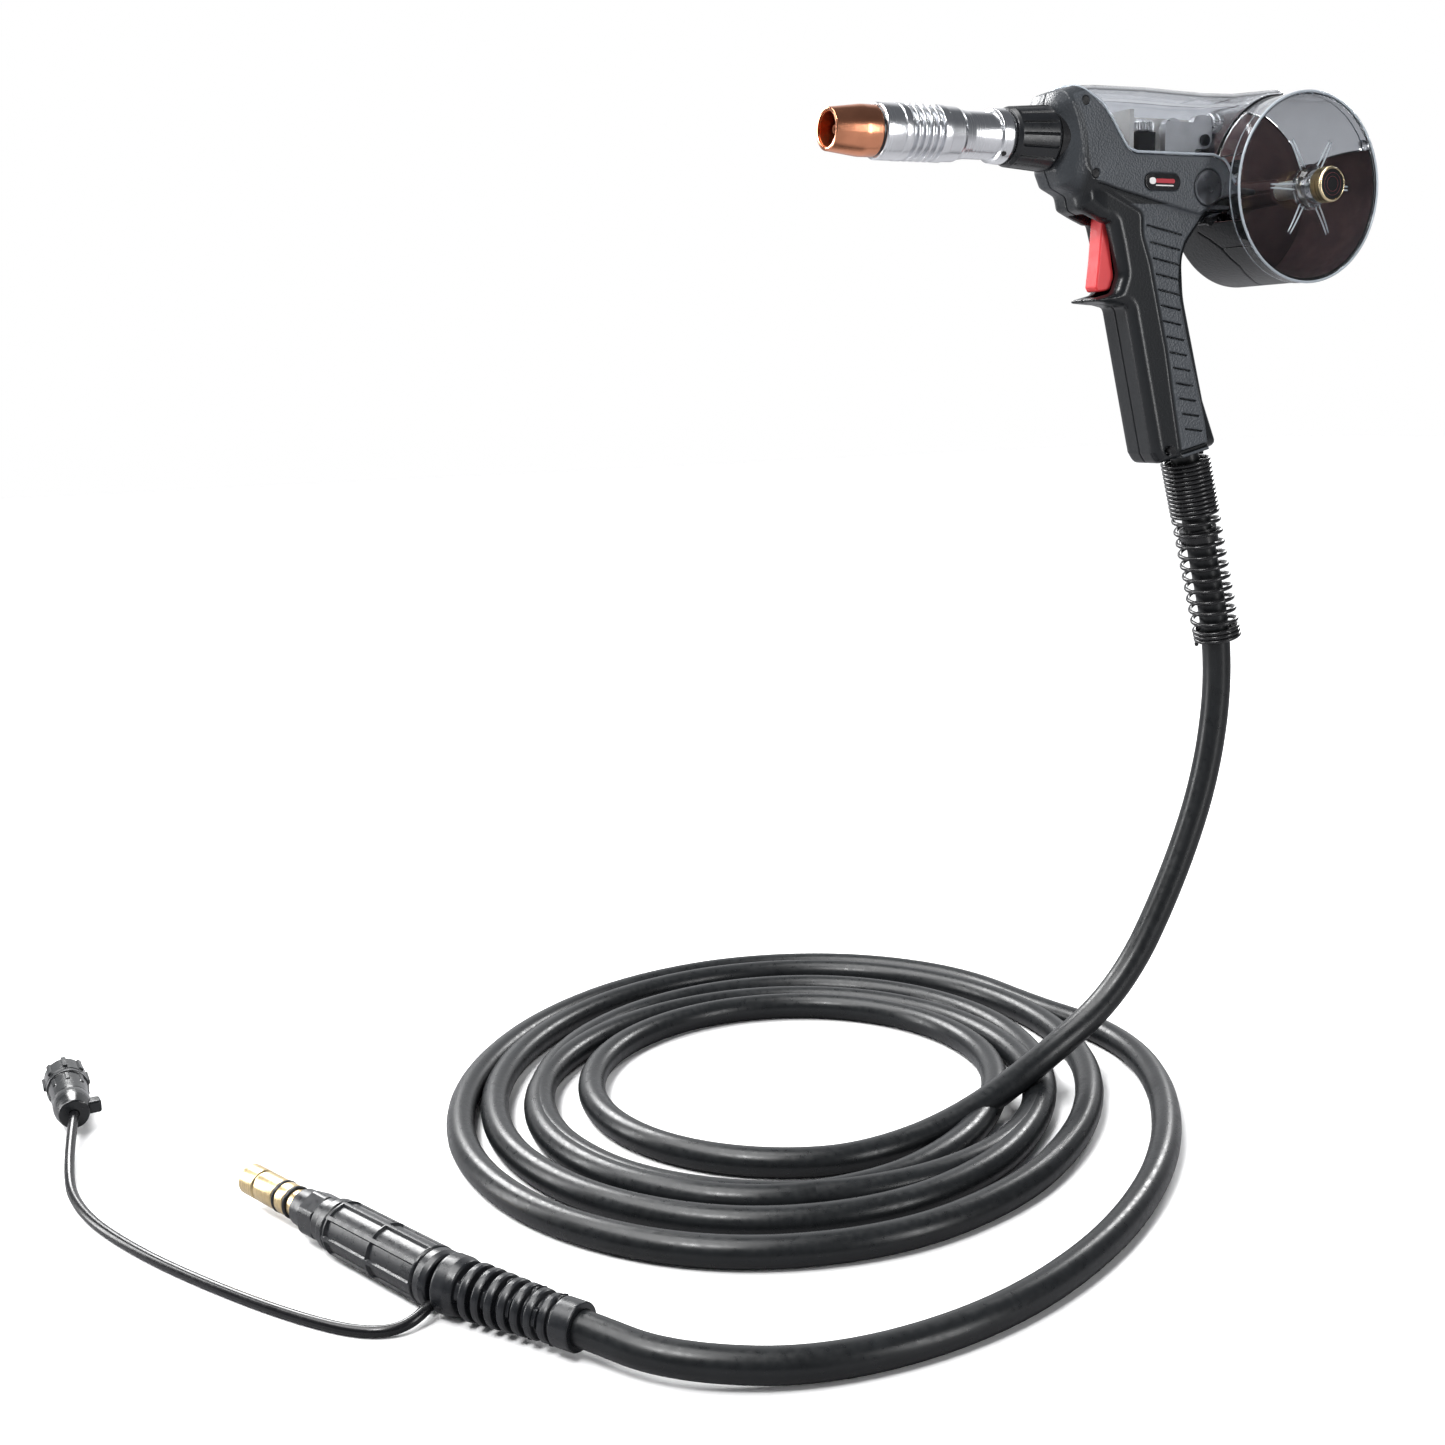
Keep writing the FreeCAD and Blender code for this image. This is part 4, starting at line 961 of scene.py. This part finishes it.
def make_feeder():
    turned("guide_nut_knob", (-18.2, -3.5, 140.2), Z_AXIS, ((0, 0), (0, 6.2, 0.3), (0.8, 7, 0.3),
        (5.2, 7, 0.3), (6, 6.2, 0.4), (6, 3.2, 0.3), (7.6, 3, 0.6), (7.6, 0)), "steel", "steel",
        "guide_nut", body="guide_nut", change=knurl(6.51, 0.4, 26, (0.3, 0.9), (5.7, 5.1)), step=0.5,
        sides=208)
    turned("tension_nut_knob", (36, 0.5, 148), X_AXIS, ((0, 1.95), (0, 5, 0.3), (0.8, 5.8, 0.3),
        (3.6, 5.8, 0.3), (4, 5.3, 0.2), (4.6, 5.3, 0.2), (5, 5.8, 0.3), (7.8, 5.8, 0.3), (8.6, 5, 0.4),
        (8.6, 1.95)), "steel", "steel", "tension_nut", body="tension_nut", change=knurl(5.394, 0.35, 24,
        (0.3, 0.9), (8.3, 7.7)), step=0.4, sides=192)
    for finish, names in CARRIED_OVER.items():
        for name in names.split():
            node = nodes[name]
            node.data.materials.clear()
            node.data.materials.append(MATERIALS[finish])
    for name in ("front_plate", "guide_block", "feed_frame", "pressure_arm", "tension_post", "gearbox"):
        soften(nodes[name], 0.5)


# ---- cable and plugs
CABLE_Z = FLOOR + 8.9
LEAD_Z = FLOOR + 3
DROP_ROUTE = (
    (17.9, 0, -30), (37.2, 0, -104), (56, 0, -177), (49, 0, -250), (22, -1, -318), (-20, 0, -390),
    (-82, 2, -428), (-160, -20, CABLE_Z + 1), (-235, -34, CABLE_Z),
)
TAIL_ROUTE = (
    (2, 120, CABLE_Z), (14, 70, CABLE_Z), (6, 10, CABLE_Z), (-32, -60, CABLE_Z),
    (-95, -130, CABLE_Z), (-180, -188, CABLE_Z), (-275, -222, CABLE_Z),
    (-368, -220, CABLE_Z), (-433, -186, CABLE_Z + 4), (-458, -141, PLUG_Z),
    (-480, -101, PLUG_Z), (-501, -64, PLUG_Z), (-514, -26, PLUG_Z),
)
LEAD_ROUTE = (
    (-511, -71, FLOOR + 8.5), (-523, -79, LEAD_Z + 1), (-545, -73, LEAD_Z), (-572, -38, LEAD_Z),
    (-603, 17, LEAD_Z), (-631, 77, LEAD_Z), (-650, 137, LEAD_Z), (-652, 192, LEAD_Z + 2),
    (-637, 262, FLOOR + 14.6),
)
TURNS = ((134, 0, 2), (164.5, 18, 5.5), (171, 2, 9), (203.5, 0, 12), (224, 9, 17.5))


def coil_route():
    """The coil's turns on the floor, from the inner one out."""
    def turn_radius(turn, angle):
        middle, once, twice = TURNS[min(max(turn, 0), len(TURNS) - 1)]
        lean = angle - radians(130)
        return middle + once * cos(lean) + twice * cos(2 * lean)

    points = []
    for step in range(1, 75):
        degrees = 100 + 22.6 * step
        angle = radians(degrees)
        turn = floor((degrees - 130) / 360)
        share = (degrees - 130) / 360 - turn
        change = smooth_step(0.75, 1, share)
        radius = 1.01 * ((1 - change) * turn_radius(turn, angle) + change * turn_radius(turn + 1, angle))
        points.append((-210 + radius * cos(angle), 100 - radius * sin(angle), CABLE_Z))
    return points


def make_cables():
    cable = wire("power_cable", [*DROP_ROUTE, *coil_route(), *TAIL_ROUTE], 8.9, "cable",
        "power_cable_drop cable_coil power_cable_tail")
    lead = wire("control_lead_cord", LEAD_ROUTE, 3, "lead", "control_lead")
    for item in (cable, lead):
        item.data.bevel_resolution = 8
        item.data.resolution_u = 12
    return cable, lead


def make_strain_spring():
    side = unit(np.cross(CABLE_EXIT, Y_AXIS))
    above = np.cross(side, CABLE_EXIT)
    start = np.array((23.2, 0, -50.8))
    points = []
    distance, angle, per_turn = 2, 0, 14
    while distance < 122:
        tight = distance < 38 or distance > 113
        radius = np.interp(distance, (0, 40, 124), (14.4, 14.2, 13.9))
        points.append(start + CABLE_EXIT * distance + radius * (cos(angle) * side + sin(angle) * above))
        distance += (2.75 if tight else 7.4) / per_turn
        angle += 2 * pi / per_turn
    wire("strain_coil", points, 1.3, "spring", "strain_spring")


def make_boot():
    profile = [(0, 9), (0, 12.2, 0.8), (11.6, 12.2, 1.2), (12.4, 10, 0.5)]
    for ring in range(7):
        start = 13.6 + 8 * ring
        radius = 12 + 0.42 * ring
        profile += [(start, 9.7, 0.5), (start + 0.6, radius - 0.5, 0.6), (start + 1.8, radius, 0.9),
            (start + 4.2, radius + 0.1, 0.9), (start + 5.2, radius - 0.4, 0.6), (start + 5.8, 9.9, 0.5)]
    profile += [(70.5, 10.2, 0.5), (71.5, 14, 1.5), (76, 15.2, 4), (85, 15.4, 2), (85, 9)]

    def bridges(distance, angle, radius):
        """Bridges join each ring to the next, on alternate sides."""
        ring = np.floor((distance - 11) / 8)
        bridge = np.clip((np.cos(2 * (angle - 1.2 - ring * pi / 2)) - 0.55) * 4, 0, 1)
        within = (distance > 12.6) & (distance < 71) & (radius < 11.2) & (radius > 9.2)
        return np.where(within, 1.9 * bridge, 0)

    turned("boot_rings", BOOT_START, BOOT_AXIS, profile, "rubber", "rubber", "cable_boot", change=bridges,
        step=0.8, sides=144)


def make_connector():
    def ribs(distance, angle, radius):
        along = smooth_step(7.5, 8.5, distance) * smooth_step(88.5, 87.5, distance)
        lengthwise = np.clip((np.cos(8 * angle) - 0.72) / 0.08, 0, 1)
        rings = sum(np.clip(1 - np.abs(distance - place) / 1.3, 0, 1) * 1.6 for place in (9, 47, 86))
        return np.where(radius > 11, np.clip(np.maximum(lengthwise * along, rings), 0, 1) * 1.5, 0)

    turned("connector_grip", SHOULDER, PLUG_AXIS, ((-2, 9), (-2, 14.2, 1.5), (2, 15.2, 1.5),
        (6.5, 15.1, 0.8), (7.6, 14, 0.5), (88.4, 13.6, 0.5), (89.4, 14.4, 0.6), (94.2, 14.3, 0.8),
        (95, 13, 0.5), (95, 9)), "rubber", "black_gloss", "connector_sleeve", change=ribs, step=0.55,
        sides=288)

    def flats(distance, angle, radius):
        wanted = 11.7 / np.maximum(0.3, np.abs(np.cos((angle + pi / 6) % (pi / 3) - pi / 6)))
        hexagon = np.minimum(0, wanted - radius)
        return np.where((radius > 10.8) & (distance > 7) & (distance < 20.4), hexagon, 0)

    turned("connector_nut_collar", SHOULDER + PLUG_AXIS * 95, PLUG_AXIS, ((0, 8.1), (0, 12.4, 0.5),
        (6.5, 12.4, 0.6), (7.2, 12, 0.3), (7.6, 12.8, 0.3), (20, 12.8, 0.6), (20.6, 11, 0.5),
        (31.4, 10.3, 0.8), (31.4, 8.1)), "rubber", "black_gloss", "connector_nut", change=flats, step=0.8,
        sides=144)
    turned("plug_pin", SHOULDER + PLUG_AXIS * 96, PLUG_AXIS, ((0, 0), (0, 7.95), (36.6, 7.95, 0.3),
        (37, 6.8, 0.3), (40, 6.8, 0.3), (40.2, 8.9, 0.5), (47.8, 8.9, 0.5), (48, 6.8, 0.3), (51, 6.8, 0.3),
        (51.2, 8.9, 0.5), (68.8, 8.9, 0.5), (69.4, 8, 0.3), (71, 8, 0.3), (71.6, 8.9, 0.5),
        (84.4, 8.9, 0.6), (85.8, 7.8, 0.8), (85.8, 2.4, 0.5), (70, 2.3), (70, 0)), "brass", "brass",
        "brass_plug", sides=128)


def make_control_plug():
    turned("control_clamp", LEAD_PLUG, LEAD_PLUG_AXIS, ((0, 3.3), (0, 9.2, 1.2), (10, 11.3, 1.5),
        (14, 11.6, 0.6), (19.6, 11.6, 0.8), (20, 10, 0.5), (20, 3.3)), "plug", "black_gloss", "lead_clamp")
    outline = oblong(-629.5, -619.5, FLOOR + 10.5, FLOOR + 18.5, 1.6)
    moulded("control_clamp_screw", outline, 267.5, 277.5, 1.6, "plug", "black_gloss")
    start = LEAD_PLUG + LEAD_PLUG_AXIS * 20
    turned("control_plug_body", start, LEAD_PLUG_AXIS, ((0, 0), (0, 10.6, 0.5), (2, 11.2, 0.8),
        (24, 12.2, 0.8), (26, 12.2, 0.4), (26.4, 13.2, 0.5), (30.6, 13.2, 0.5), (31, 10.9, 0.4),
        (51.6, 10.9, 0.5), (51.6, 9.4, 0.4), (40, 9.4, 0.3), (40, 0)), "plug", "black_gloss",
        "lead_plug_body", change=lugs(10.5, 14, 24, 0.7, 0.6, 0.2), step=0.9, sides=160)
    turned("control_plug_collar", LEAD_PLUG + LEAD_PLUG_AXIS * 51.5, LEAD_PLUG_AXIS,
        ((0, 11.2), (0, 12.8, 0.4), (0.6, 13.2, 0.3), (18.2, 13.2, 0.3), (19, 12.6, 0.5), (19, 11.2)),
        "plug", "black_gloss", "lead_plug_ring", change=lugs(12, 2, 18.2, 1.35, 0.55, 0.15), step=0.8,
        sides=240, body="plug_ring")


def make_floor():
    half = 9
    corners = [(x * half, y * half, FLOOR * MM) for x, y in ((-1, -1), (1, -1), (1, 1), (-1, 1))]
    mesh = bpy.data.meshes.new("studio_floor")
    mesh.from_pydata(corners, [], [(0, 1, 2, 3)])
    mesh.materials.append(MATERIALS["floor"])
    new_object("studio_floor", mesh)


make_camera()
make_world()
make_lights()
make_floor()
cable, lead = make_cables()
make_strain_spring()
make_boot()
make_connector()
make_control_plug()
make_shells()
make_drum()
make_clear_cover()
make_cover_trim()
make_cover_nut()
make_spool_axle()
make_dial()
make_badge()
make_nozzle()
make_barrel()
make_barrel_nut()
make_trigger()
make_feeder()
bpy.context.scene.view_settings.view_transform = "Standard"
